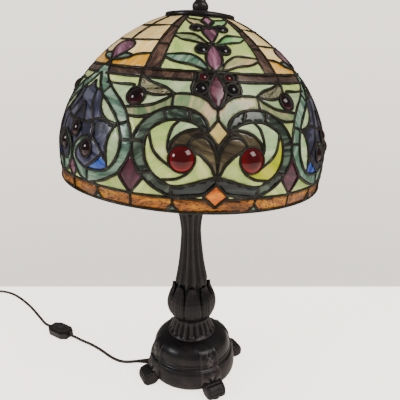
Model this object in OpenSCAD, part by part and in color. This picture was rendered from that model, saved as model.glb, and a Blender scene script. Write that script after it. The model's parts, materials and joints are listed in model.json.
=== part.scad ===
// Stained glass table lamp: a domed leaded shade on a cast column and a four-footed base.
// Origin: centre of the base on the table. +Z is up. Feet point along the diagonals.

/* [Shade] */
// Widest diameter of the glass dome
shade_d = 406; // [380:2:430]
// Height of the glass rim above the table
rim_z = 377; // [370:1:390]
// Height of the widest line above the rim
belly_rise = 48; // [36:1:60]
// Height of the dome's crown above the widest line
crown_rise = 195; // [180:1:205]
// How much the rim draws in below the widest line, on the radius
rim_draw = 3; // [1:0.5:6]
// Thickness of the glass
glass_t = 3; // [2.5:0.5:4]
// Lean of the shade and its rod away from upright, in degrees
shade_lean = 3.4; // [1:0.1:4]
// Direction of the lean, in degrees from +X
lean_heading = 18; // [0:1:45]
// Direction of the first jewel panel's centre line, in degrees from +X
panel_heading = -63; // [-90:1:90]

/* [Base] */
// Diameter of the base at its widest
base_d = 157; // [150:1:166]
// Height of the dome's top, where the skirt collar sits
base_top = 84; // [80:1:88]
// How far the outer face of each foot stands out past the base's widest
foot_out = 21.5; // [18:0.5:27]
// Width of each foot
foot_w = 30; // [24:1:34]

/* [Column] */
// Radius at the column's narrowest place
waist_r = 17; // [15.5:0.5:18.5]
// Radius of the leaf cup's bulge
cup_r = 38.5; // [36:0.5:42]
// Number of flutes round the column
flute_count = 12; // [10:1:14]

/* [Lamp] */
// Angle of the two bulbs above level, in degrees
bulb_rise = 55; // [52:1:58]
// Radius of each bulb's globe
bulb_r = 30; // [24:1:30]

/* [Cord] */
// Diameter of the cord
cord_d = 5.5; // [5:0.1:6]
// Length of the switch housing
switch_l = 54; // [50:1:56]

/* [Hidden] */
$fn = 64;
gap = 0.2;

// ---- dome profile ----
belly_r = shade_d / 2;
belly_z = rim_z + belly_rise;
crown_power = 1.75;
glass_top = belly_z + crown_rise * 0.949;

// Radius of the dome's outer face at a height: a superellipse above the widest line
function dome_r(z) = z >= belly_z
    ? belly_r * pow(1 - pow(min(z - belly_z, crown_rise) / crown_rise, crown_power), 1 / crown_power)
    : belly_r - rim_draw * pow((belly_z - z) / belly_rise, 2);
// Outward direction of the dome's outer face at a height, as [radial, up]
function dome_n(z) =
    let (d = 0.05, s = [dome_r(z + d) - dome_r(z - d), 2 * d])
    [s[1], -s[0]] / norm(s);
// A point at a height, moved outwards from the outer face by a distance
function dome_p(z, out) = [dome_r(z), z] + out * dome_n(z);
// A height above the rim as drawn, carried along when the crown is made taller or lower
function on_crown(h) = rim_z + (h <= 48 ? h * belly_rise / 48
    : belly_rise + (h - 48) * crown_rise / 195);
// Heights between two limits, closer together near the crown
function dome_zs(z0, z1, n) = [for (i = [0:n]) z0 + (z1 - z0) * sin(90 * i / n)];

// ---- pattern, in degrees from a jewel panel's centre line and heights above the table ----
panel_pitch = 120;
half_jewel_panel = 30;
strap_half = 4;
tile_count = 24;
border_z0 = rim_z + 3;
border_z1 = rim_z + 19;
belt_z0 = on_crown(154.5);
belt_z1 = on_crown(165);
came_gap = 2;
came_gap_deg = 0.9;
came_proud = 0.8;
diamond_z = rim_z + 24;
diamond_half = 14;
// Each jewel: [degrees off the centre line, height above the rim, radius]
ruby = [12.2, 67.7, 15];
corner_garnet = [33, 133, 11];
wing_garnet = [51, 63.5, 10.5];
middle_garnet = [60, 84, 10];
low_black = [6.7, 146.3, 7];
mid_black = [6.7, 190.8, 7];
high_black = [11.2, 216.9, 7.2];
small_red = [5.7, 159.5, 5];

// ---- heights of the rod stack ----
pivot_z = 364;
rod_r = 4.9;
pipe_bore = 3.4;
cap_brim_r = dome_r(glass_top) - 0.5;
cap_brim_z = glass_top + 1.2;
cap_top = cap_brim_z + 9.8;
rod_top = cap_top + 20;
plate_z = glass_top - 2.4;
plate_r = cap_brim_r - 6;
column_foot_z = 108;
column_top = 313;
cluster_top = 334;
neck_top = 350;
coupling_z = 354;
coupling_r = 6.8;
coupling_h = 15;
socket_z = 324;
socket_s0 = 36;
shell_r = 19;
shell_s1 = 82;
base_r = base_d / 2;
base_low = 8.5;
plate_low = 7.5;
dome_foot_z = 47;
dome_foot_r = 69;
wall = 5;
foot_at = base_r + 9.5;
foot_reach = base_r + foot_out;
pad_h = 0.8;

// ---- cord ----
exit_heading = -160;
exit_z = 13.5;
relief_end = 101;
table_gap = 0.1;
cord_z = cord_d / 2 + table_gap;
switch_at = [-296, 13.3];
switch_turn = 165;
switch_w = 33;
switch_end_w = 19;
switch_taper = 12;
switch_h = 15;
switch_split = 7;
coil_at = [-596, 69];
coil_turn_r = 30;
coil_pitch = 5.6;
coil_low = 1;
coil_layers = 3;
coil_r0 = coil_turn_r - coil_pitch / 2 - cord_d / 2;
coil_r1 = coil_turn_r + coil_pitch / 2 + cord_d / 2;
coil_high = coil_low + cord_d + (coil_layers - 1) * coil_pitch;
plug_at = [-624, 8];
plug_z = 6.5;
// Route from the base to the switch, then from the switch to the coil, then to the plug
route_to_switch = [
    [-94.9, -34.5, 13.5], [-108, -38.2, 11.8], [-121, -38.6, 9], [-134, -35.8, 6.2],
    [-147, -31, 4.2], [-160, -25.4, 3.1], [-172, -19.8, cord_z], [-184, -14.4, cord_z],
    [-198, -8.8, cord_z], [-212, -4.2, cord_z], [-226, -0.6, cord_z], [-240, 2, 3.4],
    [-254, 4.3, 5.4], [-269.9, 6.3, 7]];
route_to_coil = [
    [-322.1, 20.3, 7], [-334, 24, 5.4], [-346, 30, 3.2], [-358, 37.5, cord_z],
    [-370, 45.5, cord_z], [-383, 54, cord_z], [-396, 62.5, cord_z], [-409, 70.8, cord_z],
    [-422, 78.6, cord_z], [-435, 85.8, cord_z], [-448, 92.5, cord_z], [-461, 98.8, cord_z],
    [-474, 104.6, cord_z], [-488, 110, cord_z], [-502, 114, cord_z], [-516, 116, cord_z],
    [-530, 116, 2.9], [-544, 113.4, 3], [-558, 109.4, 3.3], [-571, 105.6, 3.5],
    [-583, 103, 3.7]];
route_to_plug = [
    [-628.8, 69, 14.9], [-629.6, 57, 14.2], [-629.6, 45, 12], [-628.6, 33, 9],
    [-626.6, 21, 7.1], [-624, 8, plug_z]];

// ---- shared helpers ----
module leaning() {
    translate([0, 0, pivot_z]) rotate([0, 0, lean_heading]) rotate([0, shade_lean, 0])
        rotate([0, 0, -lean_heading]) translate([0, 0, -pivot_z]) children();
}

module at_feet() {
    for (i = [0:3]) rotate([0, 0, 45 + 90 * i]) children();
}

module hex_nut(across, h, bore) {
    difference() {
        cylinder(d = across / cos(30), h = h, $fn = 6);
        translate([0, 0, -1]) cylinder(r = bore, h = h + 2);
    }
}

module washer(r, h, bore) {
    difference() {
        cylinder(r = r, h = h);
        translate([0, 0, -1]) cylinder(r = bore, h = h + 2);
    }
}

// A slice of the dome's shell between two heights, from one angle to another
module dome_band(z0, z1, a0, a1, out0 = 0, out1 = -glass_t, n = 8) {
    zs = dome_zs(z0, z1, n);
    rotate([0, 0, a0]) rotate_extrude(angle = a1 - a0, $fn = 96)
        polygon(concat(
            [for (z = zs) dome_p(z, out0)],
            [for (i = [n:-1:0]) dome_p(zs[i], out1)]));
}

// The shade's frame: the first jewel panel's centre line lies along +X before it is turned
module on_shade() {
    leaning() rotate([0, 0, panel_heading]) children();
}

module each_panel() {
    for (i = [0:2]) rotate([0, 0, panel_pitch * i]) children();
}

// Children placed on the glass at a jewel, +Z outwards, on both sides of each centre line
module at_jewel(j, out = 0) {
    z = on_crown(j[1]);
    n = dome_n(z);
    p = dome_p(z, out);
    sides = j[0] == 60 ? [1] : [1, -1];
    each_panel() for (s = sides) rotate([0, 0, s * j[0]]) translate([p[0], 0, p[1]])
        rotate([0, 90 - atan2(n[1], n[0]), 0]) children();
}

module jewel_holes(list) {
    for (j = list) at_jewel(j, -glass_t - 3) cylinder(r = j[2], h = glass_t + 8, $fn = 48);
}

// A cabochon: a flat back and a domed face, seated in its round hole
module cabochons(list) {
    for (j = list) {
        rise = j[2] * 0.45;
        ball = (j[2] * j[2] + rise * rise) / (2 * rise);
        at_jewel(j, -glass_t) intersection() {
            cylinder(r = j[2], h = glass_t + rise + 1, $fn = 48);
            translate([0, 0, glass_t + rise - ball]) sphere(r = ball, $fn = 64);
        }
    }
}

module diamond_holes(extra = 0) {
    each_panel() translate([belly_r - 15, 0, diamond_z]) rotate([45, 0, 0])
        translate([0, -(diamond_half + extra) * sqrt(0.5), -(diamond_half + extra) * sqrt(0.5)])
            cube([30, (diamond_half + extra) * sqrt(2), (diamond_half + extra) * sqrt(2)]);
}

// ---- base ----
module foot_pads() {
    color("dimgray") at_feet() translate([foot_at, 0, 0]) cylinder(r = 9, h = pad_h);
}

module felt_disc() {
    color("#3d3226") translate([0, 0, plate_low - 2]) washer(base_r - 8, 2, 16);
}

module bottom_plate() {
    color("silver") translate([0, 0, plate_low]) washer(base_r - 7, 1.2, rod_r + 0.1);
}

// Quarter ellipse from the dome's foot to the seat under the collar
module dome_outline(inset) {
    rise = base_top - dome_foot_z;
    polygon(concat(
        [[0, dome_foot_z - 4]],
        [for (a = [0:8:80]) [31 + (dome_foot_r - 31 - inset) * cos(a),
            dome_foot_z + (rise - inset) * sin(a)]],
        [[31, base_top - inset], [0, base_top - inset]]));
}

module band_outline(inset) {
    r = base_r - inset;
    polygon([[0, base_low], [r - 5.5, base_low], [r - 3, base_low + 1.5], [r - 1, base_low + 5.5],
        [r, base_low + 11.5], [r - 0.2, base_low + 19], [r - 1.8, base_low + 26],
        [r - 5, base_low + 32], [r - 7.5, base_low + 35.5], [dome_foot_r - inset, dome_foot_z],
        [0, dome_foot_z]]);
}

module foot() {
    scroll_r = 11;
    scroll_x = foot_reach - scroll_r;
    translate([scroll_x, foot_w / 2, pad_h + scroll_r]) rotate([90, 0, 0])
        cylinder(r = scroll_r, h = foot_w);
    for (side = [-1, 1])
        translate([scroll_x, side * (foot_w / 2 + 0.6), pad_h + scroll_r]) rotate([90, 0, 0])
            cylinder(r = 5, h = 1.4, center = true);
    translate([base_r - 8, -foot_w / 2, pad_h + 1]) cube([scroll_x - base_r + 8, foot_w, 20]);
    translate([foot_at - 9, -foot_w / 2 + 2, pad_h]) cube([16, foot_w - 4, 6]);
    // Shell ornament where the leg meets the band
    for (a = [-40, 0, 40])
        translate([base_r - 1, 0, 24]) rotate([a, 0, 0]) translate([0, 0, 7])
            sphere(r = 5.5, $fn = 24);
}

// Raised strap up the dome above each foot
module leg_strap() {
    rise = base_top - dome_foot_z;
    proud = 2.5;
    rotate([0, 0, -14]) rotate_extrude(angle = 28, $fn = 96) polygon(concat(
        [[60, 30], [base_r + proud, 26], [base_r + proud - 2, 38]],
        [for (a = [6:10:66]) [31 + (dome_foot_r - 31 + proud) * cos(a),
            dome_foot_z + (rise + proud) * sin(a)]],
        [[44, 72], [58, 56]]));
}

module base_casting() {
    color("#2a2422") difference() {
        union() {
            rotate_extrude($fn = 96) union() {
                dome_outline(0);
                band_outline(0);
            }
            at_feet() foot();
            at_feet() leg_strap();
        }
        // Hollow underside with a wall of even thickness
        rotate_extrude($fn = 96) union() {
            dome_outline(wall);
            intersection() {
                band_outline(wall + 1);
                square([base_r, dome_foot_z]);
            }
        }
        translate([0, 0, base_low - 1]) cylinder(r = base_r - 7, h = 2.2, $fn = 96);
        cylinder(r = rod_r + 0.3, h = base_top + 1);
        rotate([0, 0, exit_heading]) translate([60, 0, exit_z]) rotate([0, 90, 0])
            cylinder(r = 4.2, h = base_r - 50, $fn = 32);
    }
}

module ballast() {
    color("#4a4a4c") difference() {
        translate([0, 0, plate_low + 1.2]) cylinder(r = base_r - 12, h = 28);
        translate([0, 0, plate_low]) cylinder(r = rod_r + 0.3, h = 40);
        rotate([0, 0, exit_heading]) translate([0, -5, plate_low]) cube([base_r, 10, 12]);
    }
}

module base_washer() {
    color("silver") translate([0, 0, plate_low - 1.5]) washer(12, 1.5, rod_r + 0.1);
}

module base_nut() {
    color("goldenrod") translate([0, 0, plate_low - 6]) hex_nut(16, 4.5, rod_r);
}

module centre_pipe() {
    color("silver") translate([0, 0, 1.2]) washer(rod_r, cluster_top - 12 - 1.2, pipe_bore);
}

module pipe_wires() {
    color("black") for (x = [-1.2, 1.2]) translate([x, 0, 1.2]) cylinder(r = 1, h = 310, $fn = 24);
}

// ---- column ----
module skirt_collar() {
    flutes = 24;
    color("#2a2422") difference() {
        rotate_extrude($fn = 96) polygon([[rod_r + 0.3, base_top], [44, base_top],
            [45, base_top + 1], [45, base_top + 2.6], [43.6, base_top + 4], [41, base_top + 8],
            [37.5, base_top + 14], [34, base_top + 20], [31.6, column_foot_z],
            [rod_r + 0.3, column_foot_z]]);
        for (i = [0:flutes - 1]) rotate([0, 0, 360 / flutes * i])
            translate([42.4, 0, base_top + 7]) rotate([0, -28, 0]) cylinder(r = 2.1, h = 30, $fn = 20);
    }
}

cup_outline = [[31, 108], [cup_r - 4.5, 111], [cup_r - 1.5, 118], [cup_r, 127], [cup_r + 0.5, 137],
    [cup_r, 147], [cup_r - 2, 156], [cup_r - 5.5, 165], [cup_r - 9, 172], [cup_r - 11.5, 180]];

module leaf_cup() {
    leaves = 8;
    color("#2a2422") union() {
        rotate_extrude($fn = 96) polygon(concat([[rod_r + 0.3, 108]], cup_outline,
            [[24.6, 180], [24.6, 168], [rod_r + 0.3, 168]]));
        for (i = [0:leaves - 1]) rotate([0, 0, 360 / leaves * i]) {
            // Blade, hugging the cup
            rotate([0, 0, -18]) rotate_extrude(angle = 36, $fn = 96) polygon(concat(
                [for (p = cup_outline) if (p[1] > 110 && p[1] < 178) [p[0] + 2.6, p[1]]],
                [for (i = [len(cup_outline) - 2:-1:1]) [cup_outline[i][0] - 1, cup_outline[i][1]]]));
            // Tip, curled outwards
            translate([cup_r - 7.5, 0, 182]) rotate([90, 0, 0])
                cylinder(r = 4, h = 13, center = true, $fn = 32);
        }
    }
}

column_outline = [[24.3, 168.2], [24.3, 180.4], [26.4, 184], [26, 192], [24.8, 202],
    [23, 214], [20.9, 228], [19, 243], [waist_r + 0.7, 258], [waist_r, 276],
    [waist_r + 1.4, 290], [waist_r + 3.4, 303], [waist_r + 5.5, 313]];

module fluted_column() {
    color("#2a2422") difference() {
        rotate_extrude($fn = 96) polygon(concat([[rod_r + 0.3, 168.2]], column_outline,
            [[rod_r + 0.3, column_top]]));
        for (i = [0:flute_count - 1]) rotate([0, 0, 360 / flute_count * (i + 0.5)]) {
            translate([26, 0, 186]) rotate([0, -atan2(8.4, 90), 0])
                cylinder(r = 2.6, h = 92, $fn = 24);
            translate([waist_r + 0.9, 0, 276.5]) rotate([0, atan2(4.5, 30), 0])
                cylinder(r = 2.4, h = 28, $fn = 24);
        }
    }
}

module column_cap() {
    color("#2a2422") rotate_extrude($fn = 96) polygon([[rod_r + 0.3, column_top],
        [25, column_top], [27, column_top + 1], [27, column_top + 2.5], [22, column_top + 4.5],
        [rod_r + 0.3, column_top + 4.5]]);
}

// ---- lamp holders, one each side, axes rising at bulb_rise ----
module on_socket(i) {
    translate([0, 0, socket_z]) rotate([0, 0, 180 * i]) rotate([0, 90 - bulb_rise, 0]) children();
}

module cluster_body() {
    color("#3a2d20") difference() {
        union() {
            translate([0, 0, column_top + 4.5]) cylinder(r = 15, h = cluster_top - column_top - 4.5);
            translate([0, 0, cluster_top - 1]) cylinder(r = 8, h = neck_top - cluster_top + 1);
            for (i = [0, 1]) on_socket(i) cylinder(r = 7.5, h = socket_s0);
        }
        translate([0, 0, column_top]) cylinder(r = rod_r, h = cluster_top - 12 - column_top);
        translate([0, 0, cluster_top - 10]) cylinder(r = rod_r, h = neck_top - cluster_top + 11);
        for (i = [0, 1]) on_socket(i) translate([0, 0, 14]) cylinder(r = 3, h = socket_s0);
    }
}

module socket_shell(i) {
    s0 = socket_s0;
    color("#6b5527") on_socket(i) rotate_extrude() polygon([[3, s0], [10, s0], [shell_r, s0 + 7],
        [shell_r, shell_s1], [shell_r - 1, shell_s1], [shell_r - 1, s0 + 7.6], [9.6, s0 + 1],
        [3, s0 + 1]]);
}

module socket_liner(i) {
    color("ivory") on_socket(i) translate([0, 0, socket_s0 + 8])
        washer(shell_r - 1, shell_s1 - socket_s0 - 9, shell_r - 2.2);
}

module socket_core(i) {
    s0 = socket_s0 + 8;
    color("#1c1a18") on_socket(i) rotate_extrude() polygon([[0, s0], [shell_r - 2.2, s0],
        [shell_r - 2.2, s0 + 12], [14.2, s0 + 12], [14.2, s0 + 36], [13.3, s0 + 36],
        [13.3, s0 + 11], [0, s0 + 11]]);
}

bulb_s0 = socket_s0 + 19.5;

module bulb_base(i) {
    color("lightgray") on_socket(i) rotate_extrude() polygon([[0, bulb_s0], [4, bulb_s0],
        [5.5, bulb_s0 + 2], [10.5, bulb_s0 + 4], [13, bulb_s0 + 6], [13, bulb_s0 + 26],
        [0, bulb_s0 + 26]]);
}

module bulb_glass(i) {
    neck_s = bulb_s0 + 26;
    globe_s = neck_s + 47;
    join = 38;
    color("white", 0.8) on_socket(i) rotate_extrude() polygon(concat(
        [[0, neck_s], [13.5, neck_s], [14.5, neck_s + 8]],
        [for (a = [-join:8:86]) [bulb_r * cos(a), globe_s + bulb_r * sin(a)]],
        [[0, globe_s + bulb_r]]));
}

// ---- rod stack ----
// The rod leans from inside its coupling, above a locknut
module riser_rod() {
    color("#8a6d3b") {
        translate([0, 0, cluster_top - 9]) cylinder(r = rod_r, h = coupling_z - cluster_top + 9);
        translate([0, 0, coupling_z]) cylinder(r = coupling_r, h = coupling_h);
        leaning() translate([0, 0, pivot_z]) cylinder(r = rod_r, h = rod_top - pivot_z);
    }
}

module riser_nut() {
    color("goldenrod") translate([0, 0, neck_top]) hex_nut(14, coupling_z - neck_top, rod_r);
}

module rest_nut() {
    color("goldenrod") leaning() translate([0, 0, plate_z - 8.2]) hex_nut(16, 4, rod_r);
}

module shade_rest() {
    color("#3a2d20") leaning() translate([0, 0, plate_z - 4.2]) washer(17, 4, rod_r);
}

module shade_ring() {
    color("#8a6d3b") leaning() difference() {
        union() {
            translate([0, 0, plate_z]) cylinder(r = plate_r, h = 1.6);
            translate([0, 0, plate_z]) cylinder(r = 12, h = 2.4);
        }
        translate([0, 0, plate_z - 1]) cylinder(r = rod_r + 0.1, h = 6);
        for (i = [0:2]) rotate([0, 0, 120 * i + 60]) translate([28, 0, plate_z - 1])
            cylinder(r = 11, h = 4);
    }
}

module vase_cap() {
    z = cap_brim_z;
    color("#2a2422") leaning() rotate_extrude($fn = 96) polygon([[rod_r + 0.1, glass_top],
        [10, glass_top], [10, z + 4.5], [24, z + 3.4], [cap_brim_r - 12, z + 1.4],
        [cap_brim_r - 4, z], [cap_brim_r, z], [cap_brim_r + 0.5, z + 1], [cap_brim_r + 0.2, z + 3],
        [cap_brim_r - 1.6, z + 4.6], [cap_brim_r - 8, z + 6.2], [cap_brim_r - 18, z + 7.4],
        [22, z + 8.2], [14.5, z + 8.8], [14, cap_top], [rod_r + 0.1, cap_top]]);
}

module finial() {
    z = cap_top + gap;
    color("#2a2422") leaning() difference() {
        rotate_extrude() polygon([[0, z], [12.6, z], [13.6, z + 2.4], [14, z + 5.6],
            [13.5, z + 9], [12, z + 12.2], [9.9, z + 14.6], [8.8, z + 16], [8.8, z + 17],
            [10.2, z + 18.6], [11.6, z + 20.8], [12.2, z + 24], [11.6, z + 27.6], [9.8, z + 31.4],
            [7, z + 35.2], [4.4, z + 38.4], [3.2, z + 40.6], [2.8, z + 42], [3.6, z + 43.6],
            [3.6, z + 45.4], [2.5, z + 47.2], [0, z + 48]]);
        translate([0, 0, z - 1]) cylinder(r = rod_r + 0.05, h = rod_top - z + 1.5);
    }
}

// ---- leaded shade ----
module rim_came() {
    color("#3b3a38") on_shade() dome_band(rim_z, border_z0, 0, 360, 1, -glass_t - 1, 1);
}

module came_ring(z0, z1) {
    dome_band(z0, z1, 0, 360, came_proud, -glass_t - came_proud, 1);
}

module came_meridian(a, z0, z1, n) {
    dome_band(z0, z1, a - came_gap_deg / 2, a + came_gap_deg / 2, came_proud,
        -glass_t - came_proud, n);
}

module panel_came() {
    c = came_gap;
    color("#3b3a38") on_shade() difference() {
        union() {
            came_ring(border_z1, border_z1 + c);
            came_ring(belt_z0 - c, belt_z0);
            came_ring(belt_z1, belt_z1 + c);
            came_ring(glass_top - 0.7, glass_top);
            leaning_plate_seat();
            for (i = [0:tile_count - 1])
                came_meridian(360 / tile_count * i, border_z0, border_z1 + c / 2, 1);
            for (i = [0:2], s = [-1, 1]) {
                m = panel_pitch * i + s * half_jewel_panel;
                came_meridian(m, border_z1 + c / 2, belt_z0 - c / 2, 8);
                came_meridian(m, belt_z0 - c / 2, belt_z1 + c / 2, 1);
                for (e = [-1, 1])
                    came_meridian(m + e * strap_half, belt_z1 + c / 2, glass_top - 0.4, 8);
            }
        }
        jewel_holes([corner_garnet, middle_garnet]);
        diamond_holes();
    }
}

// Top hoop that the mounting plate is soldered into
module leaning_plate_seat() {
    r = dome_r(glass_top);
    rotate_extrude($fn = 96) polygon([[plate_r, plate_z], [dome_p(glass_top, -glass_t)[0], plate_z],
        [r, glass_top], [plate_r, glass_top]]);
}

module border_tiles() {
    step = 360 / tile_count;
    edge = came_gap_deg / 2;
    color("#c8802c") on_shade() difference() {
        for (i = [0:tile_count - 1])
            dome_band(border_z0, border_z1, step * i + edge, step * (i + 1) - edge, n = 1);
        diamond_holes();
    }
}

module border_diamonds() {
    color("#d06a20") on_shade() intersection() {
        dome_band(diamond_z - diamond_half - 2, diamond_z + diamond_half + 2, 0, 360, 1, -glass_t, 4);
        diamond_holes();
    }
}

module jewel_panels() {
    a = half_jewel_panel - came_gap_deg / 2;
    color("#9fb37a") on_shade() difference() {
        each_panel() dome_band(border_z1 + came_gap, belt_z0 - came_gap, -a, a);
        jewel_holes([ruby, corner_garnet, low_black]);
        diamond_holes();
    }
}

module wing_panels() {
    a = half_jewel_panel + came_gap_deg / 2;
    color("#2f3a63") on_shade() difference() {
        each_panel() dome_band(border_z1 + came_gap, belt_z0 - came_gap, a, panel_pitch - a);
        jewel_holes([corner_garnet, wing_garnet, middle_garnet]);
    }
}

module belt_panels() {
    a = half_jewel_panel - came_gap_deg / 2;
    b = half_jewel_panel + came_gap_deg / 2;
    color("#6a4a3c") on_shade() difference() {
        each_panel() {
            dome_band(belt_z0, belt_z1, -a, a, n = 1);
            dome_band(belt_z0, belt_z1, b, panel_pitch - b, n = 1);
        }
        jewel_holes([small_red]);
    }
}

module upper_leaf_panels() {
    a = half_jewel_panel - strap_half - came_gap_deg / 2;
    color("#a9b46e") on_shade() difference() {
        each_panel() dome_band(belt_z1 + came_gap, glass_top - 0.7, -a, a);
        jewel_holes([mid_black, high_black]);
    }
}

module upper_plain_panels() {
    a = half_jewel_panel + strap_half + came_gap_deg / 2;
    color("#e6cfa0") on_shade()
        each_panel() dome_band(belt_z1 + came_gap, glass_top - 0.7, a, panel_pitch - a);
}

module strap_panels() {
    a = half_jewel_panel - strap_half + came_gap_deg / 2;
    b = half_jewel_panel + strap_half - came_gap_deg / 2;
    color("#6a4a3c") on_shade() each_panel() {
        dome_band(belt_z1 + came_gap, glass_top - 0.7, a, b);
        dome_band(belt_z1 + came_gap, glass_top - 0.7, -b, -a);
    }
}

module ruby_jewels() {
    color("#8a0c14") on_shade() cabochons([ruby]);
}

module garnet_jewels() {
    color("#3a0e16") on_shade() cabochons([corner_garnet, wing_garnet, middle_garnet]);
}

module black_jewels() {
    color("#141216") on_shade() cabochons([low_black, mid_black, high_black]);
}

module small_jewels() {
    color("#701018") on_shade() cabochons([small_red]);
}

// ---- cord ----
// Direction of the route at a point, and a ring of the cord's skin round it
function route_dir(r, i) =
    let (d = r[min(i + 1, len(r) - 1)] - r[max(i - 1, 0)]) d / norm(d);
function ring_at(r, i, sides) =
    let (t = route_dir(r, i), s0 = cross([0, 0, 1], t), s = s0 / norm(s0), u = cross(t, s))
    [for (k = [0:sides - 1]) r[i] + cord_d / 2 * (cos(360 * k / sides) * s + sin(360 * k / sides) * u)];

module cord_tube(route) {
    sides = 8;
    n = len(route);
    skin = [for (i = [0:n - 1]) each ring_at(route, i, sides)];
    walls = [for (i = [0:n - 2], k = [0:sides - 1])
        let (a = i * sides + k, b = i * sides + (k + 1) % sides) [a, a + sides, b + sides, b]];
    ends = [[for (k = [0:sides - 1]) k], [for (k = [sides - 1:-1:0]) (n - 1) * sides + k]];
    color("#1b1614") polyhedron(skin, concat(walls, ends), convexity = 6);
}

module cord_relief() {
    color("#1b1614") rotate([0, 0, exit_heading]) translate([0, 0, exit_z]) rotate([0, 90, 0])
        rotate_extrude($fn = 48) polygon([[0, 71], [4.2, 71], [4.2, base_r + 0.4], [5.8, base_r + 0.4],
            [5.8, base_r + 2.5], [4.8, base_r + 3.5], [3, relief_end], [0, relief_end]]);
}

module cord_to_switch() { cord_tube(route_to_switch); }
module cord_to_coil() { cord_tube(route_to_coil); }
module cord_tail() { cord_tube(route_to_plug); }

module on_switch() {
    translate([switch_at[0], switch_at[1], 0]) rotate([0, 0, switch_turn]) children();
}

module switch_outline(inset) {
    l = switch_l / 2 - inset;
    w = switch_w / 2 - inset;
    e = switch_end_w / 2 - inset;
    s = l - switch_taper;
    polygon([[l, -e], [l, e], [s, w], [-s, w], [-l, e], [-l, -e], [-s, -w], [s, -w]]);
}

rocker_r = 8.6;
rocker_w = 9;
rocker_z = 8.6;

// Pocket for the rocker, and the way for the cord at each end
module switch_hollows() {
    translate([0, 0, rocker_z]) rotate([90, 0, 0])
        cylinder(r = rocker_r + 0.3, h = rocker_w + 0.6, center = true);
}

module switch_bottom() {
    color("#1d1c1e") on_switch() difference() {
        union() {
            linear_extrude(1.2) switch_outline(1);
            translate([0, 0, 1.2]) linear_extrude(switch_split - 1.2) switch_outline(0);
        }
        switch_hollows();
        for (x = [-17, 17]) translate([x, 0, -1]) cylinder(r = 2.6, h = 3, $fn = 32);
    }
}

module switch_top() {
    color("#1d1c1e") on_switch() difference() {
        union() {
            translate([0, 0, switch_split]) linear_extrude(5.4) switch_outline(0);
            translate([0, 0, switch_split + 5.4]) linear_extrude(1.3) switch_outline(1.4);
            translate([0, 0, switch_split + 6.7]) linear_extrude(switch_h - switch_split - 6.7)
                switch_outline(3.4);
        }
        switch_hollows();
    }
}

module switch_rocker() {
    color("#2b2a2d") on_switch() difference() {
        translate([0, 0, rocker_z]) rotate([90, 0, 0]) cylinder(r = rocker_r, h = rocker_w, center = true);
        // The two pressing faces meet in a shallow valley; one lies level at rest
        translate([0, -10, switch_h + 0.6]) cube([20, 20, 10]);
        translate([0, 0, switch_h + 0.6]) rotate([0, 12, 0]) translate([-20, -10, 0]) cube([20, 20, 10]);
    }
}

module switch_screws() {
    color("silver") on_switch() for (x = [-17, 17]) translate([x, 0, 0.4]) difference() {
        cylinder(r = 2.4, h = 1.6, $fn = 32);
        translate([-3, -0.4, -1]) cube([6, 0.8, 1.6]);
    }
}

module on_coil() {
    translate([coil_at[0], coil_at[1], 0]) children();
}

module cord_coil() {
    color("#1b1614") on_coil() rotate_extrude($fn = 72)
        translate([coil_r0, coil_low]) square([coil_r1 - coil_r0, coil_high - coil_low]);
}

module cord_tie() {
    t = 1;
    color("#101010") on_coil() rotate([0, 0, -12]) rotate_extrude(angle = 16, $fn = 72) difference() {
        translate([coil_r0 - t, coil_low - t])
            square([coil_r1 - coil_r0 + 2 * t, coil_high - coil_low + 2 * t]);
        translate([coil_r0, coil_low]) square([coil_r1 - coil_r0, coil_high - coil_low]);
    }
}

module on_plug() {
    translate([plug_at[0], plug_at[1], 0]) rotate([0, 0, -90]) children();
}

module plug_body() {
    color("#1b1614") on_plug() {
        translate([0, 0, plug_z]) rotate([0, 90, 0]) cylinder(r1 = 3.2, r2 = 5.6, h = 12, $fn = 32);
        translate([12, 0, 0]) linear_extrude(2 * plug_z)
            polygon([[0, -7], [0, 7], [7, 12], [20, 12], [22, 11], [22, -11], [20, -12], [7, -12]]);
    }
}

module plug_blades() {
    color("gold") on_plug() for (y = [-6.4, 6.4])
        translate([34, y - 0.75, plug_z - 3.2]) cube([17, 1.5, 6.4]);
}

// ---- drawing ----
foot_pads();
felt_disc();
bottom_plate();
base_casting();
ballast();
base_washer();
base_nut();
centre_pipe();
pipe_wires();
skirt_collar();
leaf_cup();
fluted_column();
column_cap();
cluster_body();
socket_shell(0);  // socket_shell_1
socket_shell(1);  // socket_shell_2
socket_liner(0);  // socket_liner_1
socket_liner(1);  // socket_liner_2
socket_core(0);  // socket_core_1
socket_core(1);  // socket_core_2
bulb_base(0);  // bulb_base_1
bulb_base(1);  // bulb_base_2
bulb_glass(0);  // bulb_glass_1
bulb_glass(1);  // bulb_glass_2
riser_rod();
riser_nut();
rest_nut();
shade_rest();
shade_ring();
vase_cap();
finial();
rim_came();
panel_came();
border_tiles();
border_diamonds();
jewel_panels();
wing_panels();
belt_panels();
upper_leaf_panels();
upper_plain_panels();
strap_panels();
ruby_jewels();
garnet_jewels();
black_jewels();
small_jewels();
cord_relief();
cord_to_switch();
switch_bottom();
switch_top();
switch_rocker();
switch_screws();
cord_to_coil();
cord_coil();
cord_tie();
cord_tail();
plug_body();
plug_blades();
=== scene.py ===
"""Stained glass table lamp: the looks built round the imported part. Metres, +Z up."""

import json
import math

import bmesh
import bpy
import numpy as np
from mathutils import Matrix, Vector
from mathutils.geometry import delaunay_2d_cdt


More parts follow.
